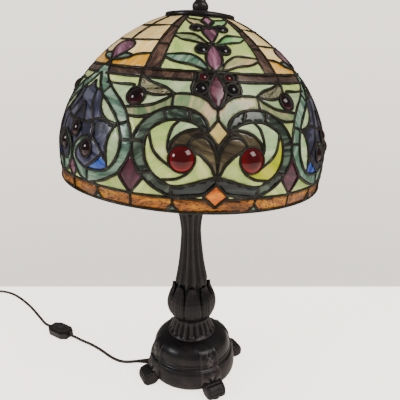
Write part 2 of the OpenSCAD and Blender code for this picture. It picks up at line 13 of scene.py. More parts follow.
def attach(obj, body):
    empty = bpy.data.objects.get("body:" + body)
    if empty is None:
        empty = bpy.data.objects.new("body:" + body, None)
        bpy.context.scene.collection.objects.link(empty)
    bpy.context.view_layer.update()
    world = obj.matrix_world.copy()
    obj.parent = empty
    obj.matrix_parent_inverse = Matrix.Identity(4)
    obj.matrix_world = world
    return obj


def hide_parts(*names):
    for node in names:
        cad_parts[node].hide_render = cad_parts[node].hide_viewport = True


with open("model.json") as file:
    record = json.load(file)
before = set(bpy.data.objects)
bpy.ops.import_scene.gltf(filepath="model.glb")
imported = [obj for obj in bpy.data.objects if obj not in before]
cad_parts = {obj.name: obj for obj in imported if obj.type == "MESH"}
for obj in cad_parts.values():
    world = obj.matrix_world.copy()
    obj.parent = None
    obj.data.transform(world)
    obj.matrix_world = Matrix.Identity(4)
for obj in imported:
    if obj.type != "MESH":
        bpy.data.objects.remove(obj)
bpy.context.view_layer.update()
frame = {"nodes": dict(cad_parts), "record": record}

MM = 0.001

# ---------------------------------------------------------------- camera
LENS_MM = 40.95
CAMERA_AT = (0.2362, -0.6783, 0.5650)
CAMERA_AZIMUTH = math.radians(18)
CAMERA_TILT = math.radians(18.16)

# ---------------------------------------------------------------- shade sizes
SHADE_R = 0.203
RIM_Z = 0.377
BELLY_RISE = 0.048
BELLY_Z = RIM_Z + BELLY_RISE
CROWN_RISE = 0.195
CROWN_POWER = 1.75
RIM_DRAW = 0.003
GLASS_TOP = BELLY_Z + CROWN_RISE * 0.949
GLASS_T = 0.003
PIVOT = np.array([0, 0, 0.364])
SHADE_LEAN = math.radians(3.4)
LEAN_HEADING = math.radians(18)
PANEL_HEADING = math.radians(-63)


# ---------------------------------------------------------------- meshes
def mesh_piece(name, points, faces, material, body, nodes=(), smooth=True,
               materials=None, face_material=None, attributes=None):
    """A closed mesh from points and faces, its faces turned outwards, riding on a body."""
    mesh = bpy.data.meshes.new(name)
    mesh.from_pydata(np.asarray(points, float).tolist(), [], [list(f) for f in faces])
    for key, (kind, values) in (attributes or {}).items():
        made = mesh.attributes.new(key, kind, "POINT")
        field = "vector" if kind == "FLOAT_VECTOR" else "value"
        made.data.foreach_set(field, np.asarray(values, np.float32).ravel())
    for m in materials or [material]:
        mesh.materials.append(m)
    if face_material is not None:
        mesh.polygons.foreach_set("material_index", np.asarray(face_material, np.int32))
    tidy = bmesh.new()
    tidy.from_mesh(mesh)
    bmesh.ops.recalc_face_normals(tidy, faces=tidy.faces)
    tidy.to_mesh(mesh)
    tidy.free()
    mesh.polygons.foreach_set("use_smooth", np.full(len(mesh.polygons), smooth))
    mesh.update()
    piece = bpy.data.objects.new(name, mesh)
    bpy.context.scene.collection.objects.link(piece)
    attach(piece, body)
    if nodes:
        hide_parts(*nodes)
    return piece


def grid_faces(rows, columns, wrap_rows=False, wrap_columns=False, start=0):
    """Quads over a grid of points stored row by row, joined round where it wraps."""
    i, j = np.meshgrid(np.arange(rows - (not wrap_rows)), np.arange(columns - (not wrap_columns)),
                       indexing="ij")
    i2, j2 = (i + 1) % rows, (j + 1) % columns
    quads = np.stack([i * columns + j, i * columns + j2, i2 * columns + j2, i2 * columns + j], -1)
    return (quads.reshape(-1, 4) + start).tolist()


def along(points, step, smooth=True, closed=False):
    """Even steps along a route of points: a Catmull-Rom curve through them, or straight runs."""
    p = np.asarray(points, float)
    if len(p) == 2:
        smooth = False
    if smooth:
        before = p[-1:] if closed else 2 * p[:1] - p[1:2]
        after = p[:2] if closed else 2 * p[-1:] - p[-2:-1]
        q = np.vstack([before, p, after])
        t = np.linspace(0, 1, 12, endpoint=False)[:, None]
        runs = []
        for k in range(len(q) - 3):
            a, b, c, d = q[k:k + 4]
            runs.append(0.5 * (2 * b + (c - a) * t + (2 * a - 5 * b + 4 * c - d) * t ** 2
                               + (3 * b - a - 3 * c + d) * t ** 3))
        dense = np.vstack(runs + [p[:1] if closed else p[-1:]])
    else:
        dense = np.vstack([p, p[:1]]) if closed else p
    s = np.concatenate([[0], np.cumsum(np.linalg.norm(np.diff(dense, axis=0), axis=1))])
    n = max(2, int(round(s[-1] / step)) + 1)
    at = np.linspace(0, s[-1], n)
    return np.stack([np.interp(at, s, dense[:, k]) for k in range(p.shape[1])], -1)


def fan(centre, start, count):
    """Triangles from one point to a ring of count points stored from start."""
    ring = start + np.arange(count)
    return np.stack([np.full(count, centre), ring, np.roll(ring, -1)], -1).tolist()


def tube(route, half_width, half_height, normals=None, sides=8, closed=False, start=0):
    """Points and faces of an oval tube along a route; normals are the way its height points."""
    p = np.asarray(route, float)
    if closed:
        t = np.roll(p, -1, 0) - np.roll(p, 1, 0)
    else:
        t = np.gradient(p, axis=0)
    t /= np.linalg.norm(t, axis=1)[:, None]
    up = np.tile([0.0, 0, 1], (len(p), 1)) if normals is None else np.asarray(normals, float)
    side = np.cross(t, up)
    side /= np.maximum(np.linalg.norm(side, axis=1), 1e-9)[:, None]
    up = np.cross(side, t)
    a = np.arange(sides) / sides * 2 * np.pi
    w = np.broadcast_to(half_width, (len(p),))[:, None, None]
    h = np.broadcast_to(half_height, (len(p),))[:, None, None]
    rings = (p[:, None] + w * np.cos(a)[None, :, None] * side[:, None]
             + h * np.sin(a)[None, :, None] * up[:, None])
    points = rings.reshape(-1, 3)
    faces = grid_faces(len(p), sides, wrap_rows=closed, wrap_columns=True, start=start)
    if not closed:
        faces.append([start + k for k in range(sides)])
        faces.append([start + (len(p) - 1) * sides + k for k in range(sides)])
    return points, faces


class Pile:
    """Gathers points and faces of many shells into one mesh."""

    def __init__(self):
        self.points, self.faces, self.count = [], [], 0

    def add(self, points, faces):
        shift = self.count
        self.points.append(np.asarray(points, float))
        self.faces += [[k + shift for k in f] for f in faces]
        self.count += len(points)

    def all(self):
        return np.vstack(self.points), self.faces


# ---------------------------------------------------------------- the dome as a surface
_z = np.linspace(RIM_Z, GLASS_TOP, 1500)
_up = np.clip((_z - BELLY_Z) / CROWN_RISE, 0, 1)
_r = np.where(_z >= BELLY_Z, SHADE_R * (1 - _up ** CROWN_POWER) ** (1 / CROWN_POWER),
              SHADE_R - RIM_DRAW * ((BELLY_Z - _z) / BELLY_RISE) ** 2)
_v = np.concatenate([[0], np.cumsum(np.hypot(np.diff(_r), np.diff(_z)))]) / MM
_nr, _nz = np.gradient(_z, _v), -np.gradient(_r, _v)
_n = np.hypot(_nr, _nz)
DOME_V = _v[-1]


def dome_point(u, v, out=0.0):
    """Points in the shade's own frame: u in degrees round it, v in mm up the glass from the rim,
    out in metres off the outer face."""
    u = np.radians(np.asarray(u, float))
    r = np.interp(v, _v, _r) + out * np.interp(v, _v, _nr / _n)
    z = np.interp(v, _v, _z) + out * np.interp(v, _v, _nz / _n)
    return np.stack([r * np.cos(u), r * np.sin(u), z + 0 * u], -1)


def dome_normal(u, v):
    """Outward directions on the dome, in the shade's own frame."""
    u = np.radians(np.asarray(u, float))
    nr, nz = np.interp(v, _v, _nr / _n), np.interp(v, _v, _nz / _n)
    return np.stack([nr * np.cos(u), nr * np.sin(u), nz + 0 * u], -1)


def turn_z(angle):
    """A turn about the upright axis, in radians."""
    c, s = math.cos(angle), math.sin(angle)
    return np.array([[c, -s, 0], [s, c, 0], [0, 0, 1]])


def turn_y(angle):
    """A turn about the y axis, in radians."""
    c, s = math.cos(angle), math.sin(angle)
    return np.array([[c, 0, s], [0, 1, 0], [-s, 0, c]])


LEAN = turn_z(LEAN_HEADING) @ turn_y(SHADE_LEAN) @ turn_z(-LEAN_HEADING)


def leaned(points):
    """Points of the upright shade, leaned over with its rod."""
    return (np.asarray(points, float) - PIVOT) @ LEAN.T + PIVOT


def on_shade(points, turn=0.0, mirror=False):
    """Points of the first half panel, mirrored or turned to another, in place on the lamp."""
    p = np.array(points, float)
    if mirror:
        p = p * [1, -1, 1]
    return leaned(p @ turn_z(turn + PANEL_HEADING).T)


HALF_PANELS = [(math.radians(120 * k), m) for k in range(3) for m in (False, True)]


# ---------------------------------------------------------------- finishes
def linear(colour, depth=1.0):
    """A colour given as 0-255 display values, as the linear values that a shader takes. A depth
    above 1 moves it away from grey."""
    c = np.array(colour, float) / 255
    c = np.where(c <= 0.04045, c / 12.92, ((c + 0.055) / 1.055) ** 2.4)
    grey = c @ [0.21, 0.72, 0.07]
    return (*np.clip(grey + (c - grey) * depth, 0.0005, 1).tolist(), 1.0)


class Finish:
    """A node material being put together: add() makes a node, wire() joins two sockets, put() sets
    values on the shader's own sockets, and the rest give the output of the node that they make."""

    def __init__(self, name, depth=1.0):
        self.depth = depth
        self.material = bpy.data.materials.new(name)
        self.material.use_nodes = True
        self.tree = self.material.node_tree
        self.shader = self.tree.nodes["Principled BSDF"]

    def add(self, kind, **settings):
        node = self.tree.nodes.new("ShaderNode" + kind)
        for key, value in settings.items():
            if hasattr(node, key):
                setattr(node, key, value)
            else:
                node.inputs[key.replace("_", " ").title()].default_value = value
        return node

    def wire(self, a, b):
        self.tree.links.new(a, b)

    def put(self, **values):
        for key, value in values.items():
            self.shader.inputs[key.replace("_", " ")].default_value = value

    def ramp(self, factor, stops):
        ramp = self.add("ValToRGB")
        line = ramp.color_ramp
        while len(line.elements) < len(stops):
            line.elements.new(0.5)
        for element, (at, colour) in zip(line.elements, stops):
            element.position = at
            element.color = linear(colour, self.depth)
        self.wire(factor, ramp.inputs["Fac"])
        return ramp.outputs["Color"]

    def noise(self, vector, scale, detail=3.0, rough=0.5, distort=0.0):
        n = self.add("TexNoise", scale=scale, detail=detail, roughness=rough, distortion=distort)
        self.wire(vector, n.inputs["Vector"])
        return n.outputs["Fac"]

    def stretch(self, vector, scale):
        m = self.add("Mapping")
        m.inputs["Scale"].default_value = scale
        self.wire(vector, m.inputs["Vector"])
        return m.outputs["Vector"]

    def mix(self, factor, a, b, blend="MIX"):
        m = self.add("Mix", data_type="RGBA", blend_type=blend)
        for value, socket in ((factor, m.inputs["Factor"]), (a, m.inputs[6]), (b, m.inputs[7])):
            if hasattr(value, "links"):
                self.wire(value, socket)
            else:
                socket.default_value = value
        return m.outputs[2]

    def bump(self, height, strength, distance, over=None):
        b = self.add("Bump", strength=strength, distance=distance)
        self.wire(height, b.inputs["Height"])
        if over is not None:
            self.wire(over, b.inputs["Normal"])
        self.wire(b.outputs["Normal"], self.shader.inputs["Normal"])
        return b.outputs["Normal"]

    def place(self):
        return self.add("TexCoord").outputs["Object"]


GLASS_DEPTH = 1.4


def glass(name, body, streak, deep, streaks=1.0, ripple=0.0, rough=0.16, wave=0.35, shade=0.18):
    """Art glass: a body colour with drawn-out streaks along each pane's own grain, a deeper colour
    in the thick of them, pane to pane changes of tone, and a rippled or hammered skin."""
    f = Finish(name, GLASS_DEPTH)
    grain = f.add("Attribute", attribute_name="grain").outputs["Vector"]
    tone = f.add("Attribute", attribute_name="tone").outputs["Fac"]
    drawn = f.stretch(grain, (20, 75, 1))
    swirl = f.noise(drawn, 1.0, 3.0, 0.55, 0.9)
    colour = f.ramp(swirl, [(0.5 - 0.17 / streaks, deep), (0.5, body), (0.5 + 0.16 / streaks, streak)])
    tint = f.add("HueSaturation")
    spread = f.add("MapRange", to_min=1 - shade, to_max=1 + shade)
    f.wire(tone, spread.inputs["Value"])
    f.wire(spread.outputs["Result"], tint.inputs["Value"])
    f.wire(colour, tint.inputs["Color"])
    out = tint.outputs["Color"]
    place = f.place()
    if ripple:
        grit = f.noise(f.stretch(grain, (160, 330, 1)), 1.0, 2.0, 0.6, 1.2)
        dark = f.ramp(grit, [(0.36, (92, 80, 70)), (0.56, (255, 255, 255))])
        out = f.mix(min(1.0, ripple), out, dark, "MULTIPLY")
        skin = f.bump(grit, 0.5 * ripple, 0.0012)
    else:
        skin = None
    f.bump(f.noise(place, 42, 2.0), wave, 0.0016, skin)
    f.wire(out, f.shader.inputs["Base Color"])
    f.put(Roughness=rough + 0.1, Coat_Weight=0.22, Coat_Roughness=0.08, IOR=1.48)
    return f.material


GLASS = {
    "amber": glass("amber_ripple_glass", (156, 102, 40), (190, 138, 62), (88, 56, 24), 1.2, 0.95, 0.2),
    "orange": glass("orange_ripple_glass", (204, 118, 60), (224, 150, 90), (160, 84, 44), 1.2, 0.35, 0.2),
    "sea_grey": glass("sea_grey_glass", (108, 124, 114), (142, 156, 146), (76, 92, 86)),
    "maroon": glass("maroon_glass", (66, 34, 46), (98, 62, 76), (42, 20, 30)),
    "mauve": glass("mauve_glass", (104, 70, 86), (146, 112, 128), (70, 46, 60)),
    "opal_green": glass("opal_green_glass", (190, 204, 146), (216, 224, 176), (160, 186, 126), 0.8),
    "lime": glass("lime_glass", (186, 192, 96), (206, 206, 130), (150, 170, 90), 0.8),
    "pale_opal": glass("pale_opal_glass", (178, 198, 160), (208, 218, 190), (148, 176, 138), 0.8),
    "cream": glass("cream_glass", (220, 204, 152), (234, 222, 184), (200, 182, 128), 0.8),
    "ring_dark": glass("midnight_green_glass", (18, 22, 23), (44, 52, 52), (8, 10, 12), 1.3),
    "ring": glass("forest_glass", (46, 55, 48), (88, 100, 90), (26, 33, 29), 1.3),
    "olive": glass("olive_glass", (66, 60, 48), (98, 92, 74), (42, 36, 30), 1.2),
    "arch": glass("moss_glass", (140, 150, 118), (184, 166, 142), (104, 124, 98), 1.1),
    "blush": glass("blush_glass", (182, 176, 140), (214, 178, 148), (150, 158, 124), 1.1),
    "leaf_green": glass("leaf_green_glass", (142, 186, 134), (178, 206, 160), (112, 160, 112), 1.0),
    "ribbon": glass("sea_green_glass", (96, 120, 106), (146, 166, 150), (60, 80, 72), 1.1),
    "grey_ripple": glass("grey_ripple_glass", (128, 128, 108), (160, 158, 138), (84, 82, 68), 1.2, 0.95),
    "brown_ripple": glass("brown_ripple_glass", (68, 52, 46), (98, 80, 70), (42, 31, 29), 1.2, 0.7, 0.3),
    "navy": glass("midnight_blue_glass", (42, 43, 62), (84, 86, 102), (19, 20, 34), 1.3, 0.0, 0.2, 0.8),
    "cobalt": glass("cobalt_glass", (44, 66, 140), (88, 112, 176), (28, 38, 92), 1.1),
    "peach": glass("peach_glass", (236, 216, 168), (244, 230, 196), (226, 196, 140), 0.8),
    "apricot": glass("apricot_glass", (216, 172, 106), (228, 198, 148), (196, 142, 78), 0.9),
}


def solder_finish():
    """Dark patina over solder: uneven, in blotches of darker and brighter grey."""
    f = Finish("patina_on_solder")
    place = f.place()
    blotch = f.noise(place, 90, 4.0, 0.6)
    f.wire(f.ramp(blotch, [(0.3, (24, 23, 21)), (0.56, (44, 42, 37)), (0.78, (84, 81, 73))]),
           f.shader.inputs["Base Color"])
    f.bump(f.noise(place, 260, 3.0), 0.35, 0.0008)
    f.put(Metallic=0.55, Roughness=0.42)
    return f.material


def bronze_finish(name, body, rub, deep, rough=0.42):
    """Cast metal under a satin brown-black patina, with warm rub-through on sharp edges, painted shade with
    patina in the recesses, and pale dust with a painted highlight on raised ridges and ornament.
    """
    f = Finish(name)
    place = f.place()
    cloud = f.noise(place, 14, 5.0, 0.6, 0.4)
    colour = f.ramp(cloud, [(0.34, deep), (0.52, body), (0.72, rub)])
    fine = f.noise(place, 420, 3.0, 0.7)
    colour = f.mix(0.35, colour, f.ramp(fine, [(0.35, (150, 146, 142)), (0.65, (255, 255, 255))]),
                   "MULTIPLY")
    edge = f.add("NewGeometry").outputs["Pointiness"]
    worn = f.ramp(edge, [(0.49, (0, 0, 0)), (0.56, (90, 90, 90))])
    colour = f.mix(worn, colour, linear(rub))
    # Painted shade with patina: recesses are darkened towards near black
    painted_shade_and_patina = f.add("Attribute", attribute_name="shade_and_patina").outputs["Fac"]
    colour = f.mix(painted_shade_and_patina, colour, linear((9, 9, 10)))
    # Pale dust with a painted highlight on raised ridges and ornament, broken up by noise
    dust_and_highlight_mix = f.add("Math", operation="MULTIPLY")
    f.wire(f.add("Attribute", attribute_name="dust_and_highlight").outputs["Fac"], dust_and_highlight_mix.inputs[0])
    f.wire(f.noise(place, 95, 4.0, 0.7), dust_and_highlight_mix.inputs[1])
    f.wire(f.mix(dust_and_highlight_mix.outputs[0], colour, linear((126, 120, 120))), f.shader.inputs["Base Color"])
    gloss = f.add("MapRange", to_min=rough - 0.1, to_max=rough + 0.14)
    f.wire(cloud, gloss.inputs["Value"])
    f.wire(gloss.outputs["Result"], f.shader.inputs["Roughness"])
    f.bump(f.noise(place, 240, 4.0, 0.65), 0.22, 0.0008)
    f.put(Metallic=0.45, Specular_IOR_Level=0.5)
    return f.material


def plain_finish(name, body, other, scale, rough, metallic=0.0, bump=0.1, coat=0.0, distance=0.0004):
    """A material of two near shades mixed by noise, with a fine uneven skin."""
    f = Finish(name)
    place = f.place()
    f.wire(f.ramp(f.noise(place, scale, 4.0, 0.6), [(0.35, body), (0.68, other)]),
           f.shader.inputs["Base Color"])
    f.bump(f.noise(place, scale * 3, 3.0), bump, distance)
    f.put(Roughness=rough, Metallic=metallic, Coat_Weight=coat, Coat_Roughness=0.1)
    return f.material


def jewel_finish(name, heart, rim, glow):
    """Clear coloured cabochon: deep at the heart, brighter where light comes through its edge."""
    f = Finish(name, 1.15)
    # Painted glow: the colour brightens towards the edge and the lower side, where light comes through
    depth = f.add("Attribute", attribute_name="depth").outputs["Fac"]
    swirl = f.noise(f.place(), 130, 2.0, 0.5, 0.6)
    lift = f.add("Math", operation="MULTIPLY_ADD")
    f.wire(swirl, lift.inputs[0])
    lift.inputs[1].default_value = 0.3
    f.wire(depth, lift.inputs[2])
    f.wire(f.ramp(lift.outputs[0], [(0.3, heart), (0.8, rim), (1.0, glow)]),
           f.shader.inputs["Base Color"])
    f.put(Roughness=0.08, Coat_Weight=0.4, Coat_Roughness=0.03, IOR=1.5, Specular_IOR_Level=0.3)
    return f.material


SOLDER = solder_finish()
BRONZE = bronze_finish("bronze_patina", (36, 34, 38), (60, 52, 53), (20, 19, 22), 0.3)
RUBY_FINISH = jewel_finish("ruby_cabochon", (58, 3, 10), (106, 8, 18), (172, 32, 34))
GARNET_FINISH = jewel_finish("garnet_cabochon", (14, 4, 8), (42, 10, 18), (76, 24, 32))
BLACK_FINISH = jewel_finish("black_cabochon", (6, 5, 8), (16, 15, 20), (36, 34, 40))
SMALL_RED_FINISH = jewel_finish("small_red_cabochon", (40, 5, 11), (86, 14, 24), (124, 36, 36))
CORD_FINISH = plain_finish("cord_vinyl", (34, 27, 26), (48, 39, 36), 160, 0.42, bump=0.12)
SWITCH_FINISH = plain_finish("switch_moulding", (30, 28, 30), (44, 41, 43), 90, 0.34, coat=0.15)
ROCKER_FINISH = plain_finish("rocker_moulding", (40, 38, 41), (54, 51, 53), 90, 0.3, coat=0.2)
TIE_FINISH = plain_finish("hook_and_loop_tie", (16, 16, 17), (36, 36, 38), 600, 0.85, bump=0.6)
NODE_FINISH = {
    "pad_rubber": plain_finish("pad_rubber", (46, 44, 42), (58, 55, 52), 220, 0.75),
    "felt": plain_finish("felt_fibre", (84, 74, 62), (112, 100, 86), 500, 0.95, bump=0.7),
    "zinc_steel": plain_finish("zinc_plate", (150, 150, 148), (182, 181, 176), 60, 0.34, 0.9),
    "ballast_iron": plain_finish("raw_iron", (70, 68, 68), (96, 92, 90), 80, 0.6, 0.7, 0.4),
    "brass": plain_finish("satin_brass", (168, 132, 70), (196, 162, 98), 50, 0.32, 0.9),
    "antique_brass": plain_finish("antique_brass", (92, 74, 44), (122, 98, 58), 50, 0.4, 0.85),
    "liner_board": plain_finish("waxed_board", (206, 192, 158), (224, 212, 184), 120, 0.7),
    "black_moulding": plain_finish("black_moulding", (26, 24, 23), (38, 35, 33), 120, 0.5),
    "bulb_screw": plain_finish("bulb_screw", (178, 176, 170), (204, 202, 198), 70, 0.3, 0.9),
    "frosted_glass": plain_finish("frosted_bulb", (232, 230, 224), (244, 242, 238), 40, 0.35, bump=0.05),
    "lead": SOLDER, "bronze_patina": BRONZE, "cord_plastic": CORD_FINISH,
    "tie_fabric": TIE_FINISH, "switch_plastic": SWITCH_FINISH, "rocker_plastic": ROCKER_FINISH,
}

# ---------------------------------------------------------------- the leading, over half a panel
# u runs from a jewel panel's centre line (0) to a wing panel's (60), in degrees; v in mm up the glass.
HALF_PANEL = 60
MM_PER_DEG = 2.6
ON_SEAM = 0.01
LABELS_PER_PANE = 7
LEAD_HALF_BELOW, LEAD_HALF_ABOVE = 2.05, 1.8
RIM_V, BORDER_V, BELT_V0, BELT_V1 = 3.0, 20, 165.5, 178.5
STRAP_U0, STRAP_U1 = 26, 34

# Each jewel: [u, v, radius in mm]
RUBY = [(12.2, 68, 15)]
GARNETS = [(33, 139, 11), (51, 63.5, 10.5), (60, 85, 10)]
BLACK_JEWELS = [(6.7, 155, 7), (6.7, 216, 7), (11.2, 262, 7.2)]
SMALL_RED = [(5.7, 171, 5)]
JEWELS = RUBY + GARNETS + BLACK_JEWELS + SMALL_RED

STRAIGHT_LINES = [
    # Border: top line, tile dividers and the amber diamond
    [(3.1, BORDER_V), (60, BORDER_V)],
    [(0, 9), (4.4, 24)], [(4.4, 24), (0, 39)],
    [(12.6, RIM_V), (14.6, 12)], [(16.7, RIM_V), (14.6, 12)], [(14.6, 12), (14.9, BORDER_V)],
    [(30, RIM_V), (30, BORDER_V)],
    [(42.3, RIM_V), (44.4, 12)], [(46.6, RIM_V), (44.4, 12)], [(44.4, 12), (44.8, BORDER_V)],
    [(60, RIM_V), (60, BORDER_V)],
    # Centre line and the cream diamond
    [(0, 39), (0, 84)], [(0, 84), (3.9, 100)], [(3.9, 100), (0, 116)], [(0, 116), (0, 129)],
    # Splits across the heart ring
    [(9.7, 112), (10.9, 128)], [(18.8, 111.5), (20.4, 127)], [(15.4, 22), (15.1, 36)],
    [(25.2, 84), (30, 85)], [(22.4, 50), (26.6, 47.5)],
    # Splits across the ribbons
    [(17.2, 147), (17.3, 127)], [(50.2, 135.5), (47.4, 149)], [(33.1, 106), (37.2, 101)],
    [(50, 21), (50, 38)], [(30.3, 84), (35.2, 83)],
    # Belt and its ends
    [(2.2, BELT_V0), (56.2, BELT_V0)], [(0.3, BELT_V1), (60, BELT_V1)],
    [(9.6, BELT_V0), (9.6, BELT_V1)],
    # Straps
    [(STRAP_U0, BELT_V1), (STRAP_U0, 303)], [(STRAP_U1, BELT_V1), (STRAP_U1, 303)],
    # Plain rows of the upper wing panels
    [(STRAP_U1, 229), (60, 227)], [(STRAP_U1, 265), (60, 265)], [(60, 226), (60, 303)],
    [(STRAP_U0, 222), (STRAP_U1, 222)], [(STRAP_U0, 262), (STRAP_U1, 262)],
]

CURVED_LINES = [
    # Maroon diamond between two hearts
    [(30, 20), (27.6, 30), (25.3, 42)], [(30, 20), (32.6, 30), (34.6, 42), (32, 57), (30.2, 72)],
    # Heart ring, outside and inside
    [(3.6, 102), (4.2, 113), (6.8, 122), (10.8, 127.5), (15, 129), (20, 126.5), (25, 117),
     (28, 106), (29.9, 92), (30.2, 78), (29.6, 66), (28, 55), (25.3, 42), (20.5, 29), (15, 22.5),
     (8.5, 23.5), (4, 25.6)],
    [(3.9, 100), (8, 109.5), (12, 113.5), (17, 113), (20.5, 109), (24, 100), (25.4, 88),
     (25.3, 73), (24.3, 60), (22, 49), (19, 41), (15, 35.5), (10, 37), (5, 43.5), (0, 47.5)],
    # Inside the heart: crescent and leaf over the ruby, swirls below it
    [(4.5, 104), (9, 103), (13, 98), (16, 88), (16.9, 76)],
    [(4.3, 102.5), (7.4, 97), (9.6, 90), (10.6, 83)],
    [(9.6, 90), (6.5, 95.5), (3, 91), (1, 79), (0, 64)],
    [(9, 79), (5.4, 71.5), (2.7, 62), (1, 51), (0, 47.5)],
    [(8.6, 58.5), (10.6, 50), (14.3, 43.5), (19.6, 41.5)],
    [(24.4, 96), (22.8, 80), (20.4, 69), (15.6, 57.5)],
    [(13.8, 113.5), (16.1, 105), (17.2, 92), (17.2, 80), (16.2, 72)],
    # Ribbon arch over the heart and the ribbon out to the garnet
    [(0, 129), (1.6, 131.5), (3.6, 139), (7, 145.5), (12, 147), (17.2, 145), (20, 139), (25, 130.5),
     (30.4, 126.5), (36.8, 123)],
    [(24.6, 118), (29, 113), (34, 113)],
    # Mauve spine diamond
    [(0, 129), (2.4, 139), (3.6, 152), (2.4, 166), (0, 179.5)],
    # Rippled wing and the pieces round it
    [(17.2, 146), (21, 153.5), (26, 158), (30.6, 163.5), (34, 171), (34.3, BELT_V1)],
    [(33.9, 168), (33.4, 159), (33, 150)],
    [(17.2, 146), (21.4, 143.2), (26, 142.8), (30.4, 145.8)],
    [(10, 147), (10.6, 156), (9.6, BELT_V0)], [(36.2, 146), (35.4, 153.5), (44, 152.5), (51, 152.5)],
    # Wing ribbon, outside and inside, down to the scroll
    [(60, 187), (57.4, 178.5), (52.6, 161), (46.2, 146), (39, 130), (34.8, 116), (33.1, 105),
     (31.4, 93), (30.3, 80)],
    [(60, 166), (55.4, 149), (50.2, 135.5), (45, 125), (40, 112), (37.2, 101), (35.2, 85),
     (35, 70), (36.6, 55), (39.4, 45), (43, 39.8), (50, 38), (54.2, 42), (57, 50), (56.6, 60),
     (54, 69)],
    [(34.4, 43), (37.4, 36.5), (42, 28), (48, 21.5), (50, 21), (54, 24.5), (57, 33), (59, 44),
     (59.7, 53), (58.2, 66), (55.2, 75), (51.4, 79), (49.5, 73)],
    # Mauve diamond at the foot of the wing
    [(60, 20), (58.4, 25), (57, 33), (58.2, 40), (60, 46)],
    # Pale lenses along the ribbon
    [(37.2, 101), (39.6, 91), (40.6, 78), (40.6, 65), (39.4, 45)],
    [(37.6, 100), (42, 102.5), (45.6, 109), (48.2, 119), (49.6, 134)],
    [(52.6, 141.5), (56, 141), (58.4, 146), (60, 153)],
    # Feathers of the dark wing
    [(39.4, 97), (45, 104), (50, 100.5), (55, 95.5), (60, 97)], [(50, 100.5), (48.4, 86), (48.8, 73)],
    [(48.4, 80), (44.6, 70), (42, 60), (39.6, 52)], [(42.4, 61), (46, 50), (51, 38.5)],
    [(50, 100.5), (52.6, 114), (54.6, 127), (55, 141)], [(55, 95.5), (57.6, 109), (60, 121)],
    # Leaves up the spine: three pairs
    [(0, 179.5), (3, 182), (6, 195), (12, 205.5), (19, 205.5), (26, 203)],
    [(3, 181), (7, 184), (12, 189), (20, 192.5), (26, 199)],
    [(0, 227), (3.4, 229), (8, 240), (12.6, 246), (19, 246.5), (26, 244)],
    [(1.6, 222), (5, 225.5), (12, 230.5), (20, 233), (26, 240)],
    [(0, 268), (3, 277), (8, 286), (17, 288.5), (26, 292)],
    [(0, 266), (6, 268), (15, 271.5), (26, 286)],
    # Mauve leaves of the spine
    [(0, 179.5), (3.1, 189), (4.4, 201), (3.2, 214), (0, 227)],
    [(0, 227), (3.2, 240), (6.2, 254), (3, 262.5), (0, 259.5)], [(0, 259.5), (0, 267)],
    [(0, 267), (5, 276), (7.4, 284), (3, 294), (0, 302)],
    # Tulip, its leaf and the row under it
    [(STRAP_U1, 203.5), (43, 200.5), (48, 193), (54, 189.5), (60, 187)],
    [(45.2, 197.5), (50, 200.5), (54.6, 199.5), (60, 187)],
    [(60, 187), (56.4, 195), (51.8, 205), (50.4, 214), (53, 222), (60, 227)],
]

# What each pane is cut from, by a point inside it
PANES = {
    "amber": [(8, 12), (22, 12), (38, 12), (52, 12)],
    "orange": [(1.5, 24)],
    "sea_grey": [(14.6, 6), (44.4, 6), (52, 195), (47, 28)],
    "maroon": [(30, 44), (1.4, 150)],
    "mauve": [(59, 33), (1.5, 202), (2, 245), (3, 283), (56, 212)],
    "opal_green": [(23, 25), (36, 26), (4, 56), (30.4, 107), (43, 140), (43, 159), (15, 184),
                   (14, 218), (14, 258), (5, 296), (21, 258), (21, 296)],
    "lime": [(20, 56)],
    "pale_opal": [(21, 92), (13, 152), (24, 136), (13, 108), (38, 72), (43, 112), (57, 150)],
    "cream": [(1.6, 100)],
    "ring_dark": [(8, 31), (18, 31)],
    "ring": [(6, 114), (15, 121), (26, 104), (27.6, 74), (24.4, 46)],
    "olive": [(14, 92), (4, 87), (0.7, 70)],
    "arch": [(8, 137), (14, 138), (26, 122), (33, 119)],
    "blush": [(14, 198)],
    "leaf_green": [(14, 238), (13, 278)],
    "ribbon": [(43, 133), (54, 160), (35, 108), (33, 92), (32.8, 70), (38, 37), (45, 32), (57.6, 58)],
    "grey_ripple": [(28, 152)],
    "brown_ripple": [(20, 171), (44, 172), (30, 200), (30, 240), (30, 280)],
    "navy": [(46.5, 62), (45, 66), (46, 90), (52, 90), (58, 75), (50, 118), (58, 130), (54, 120), (42, 80)],
    "cobalt": [(47.5, 46)],
    "peach": [(41, 215), (41, 247), (48, 284), (57, 245)],
    "apricot": [(41, 190)],
    "solder": [(4, 148), (6, 160), (7.5, 173)],
}
# Panes that are another glass in the mirrored half of each panel
MIRRORED_PANES = {
    "opal_green": [(20, 56), (21, 92)],
    "ribbon": [(14, 198)],
    "blush": [(13, 278)],
    "arch": [(14, 238)],
}


def jewel_outline(jewel, extra=0.0, count=28):
    """Points (u, v) of a circle round a jewel's seat, closed, extra mm outside its edge."""
    u, v, r = jewel
    a = np.linspace(0, 2 * np.pi, count, endpoint=False)
    per_degree = np.interp(v, _v, _r) / MM * math.radians(1)
    return np.stack([u + (r + extra) * np.cos(a) / per_degree, v + (r + extra) * np.sin(a)], -1)


def flat(points):
    """(u, v) to flat mm, in which distances are near enough true."""
    return np.asarray(points, float) * [MM_PER_DEG, 1]


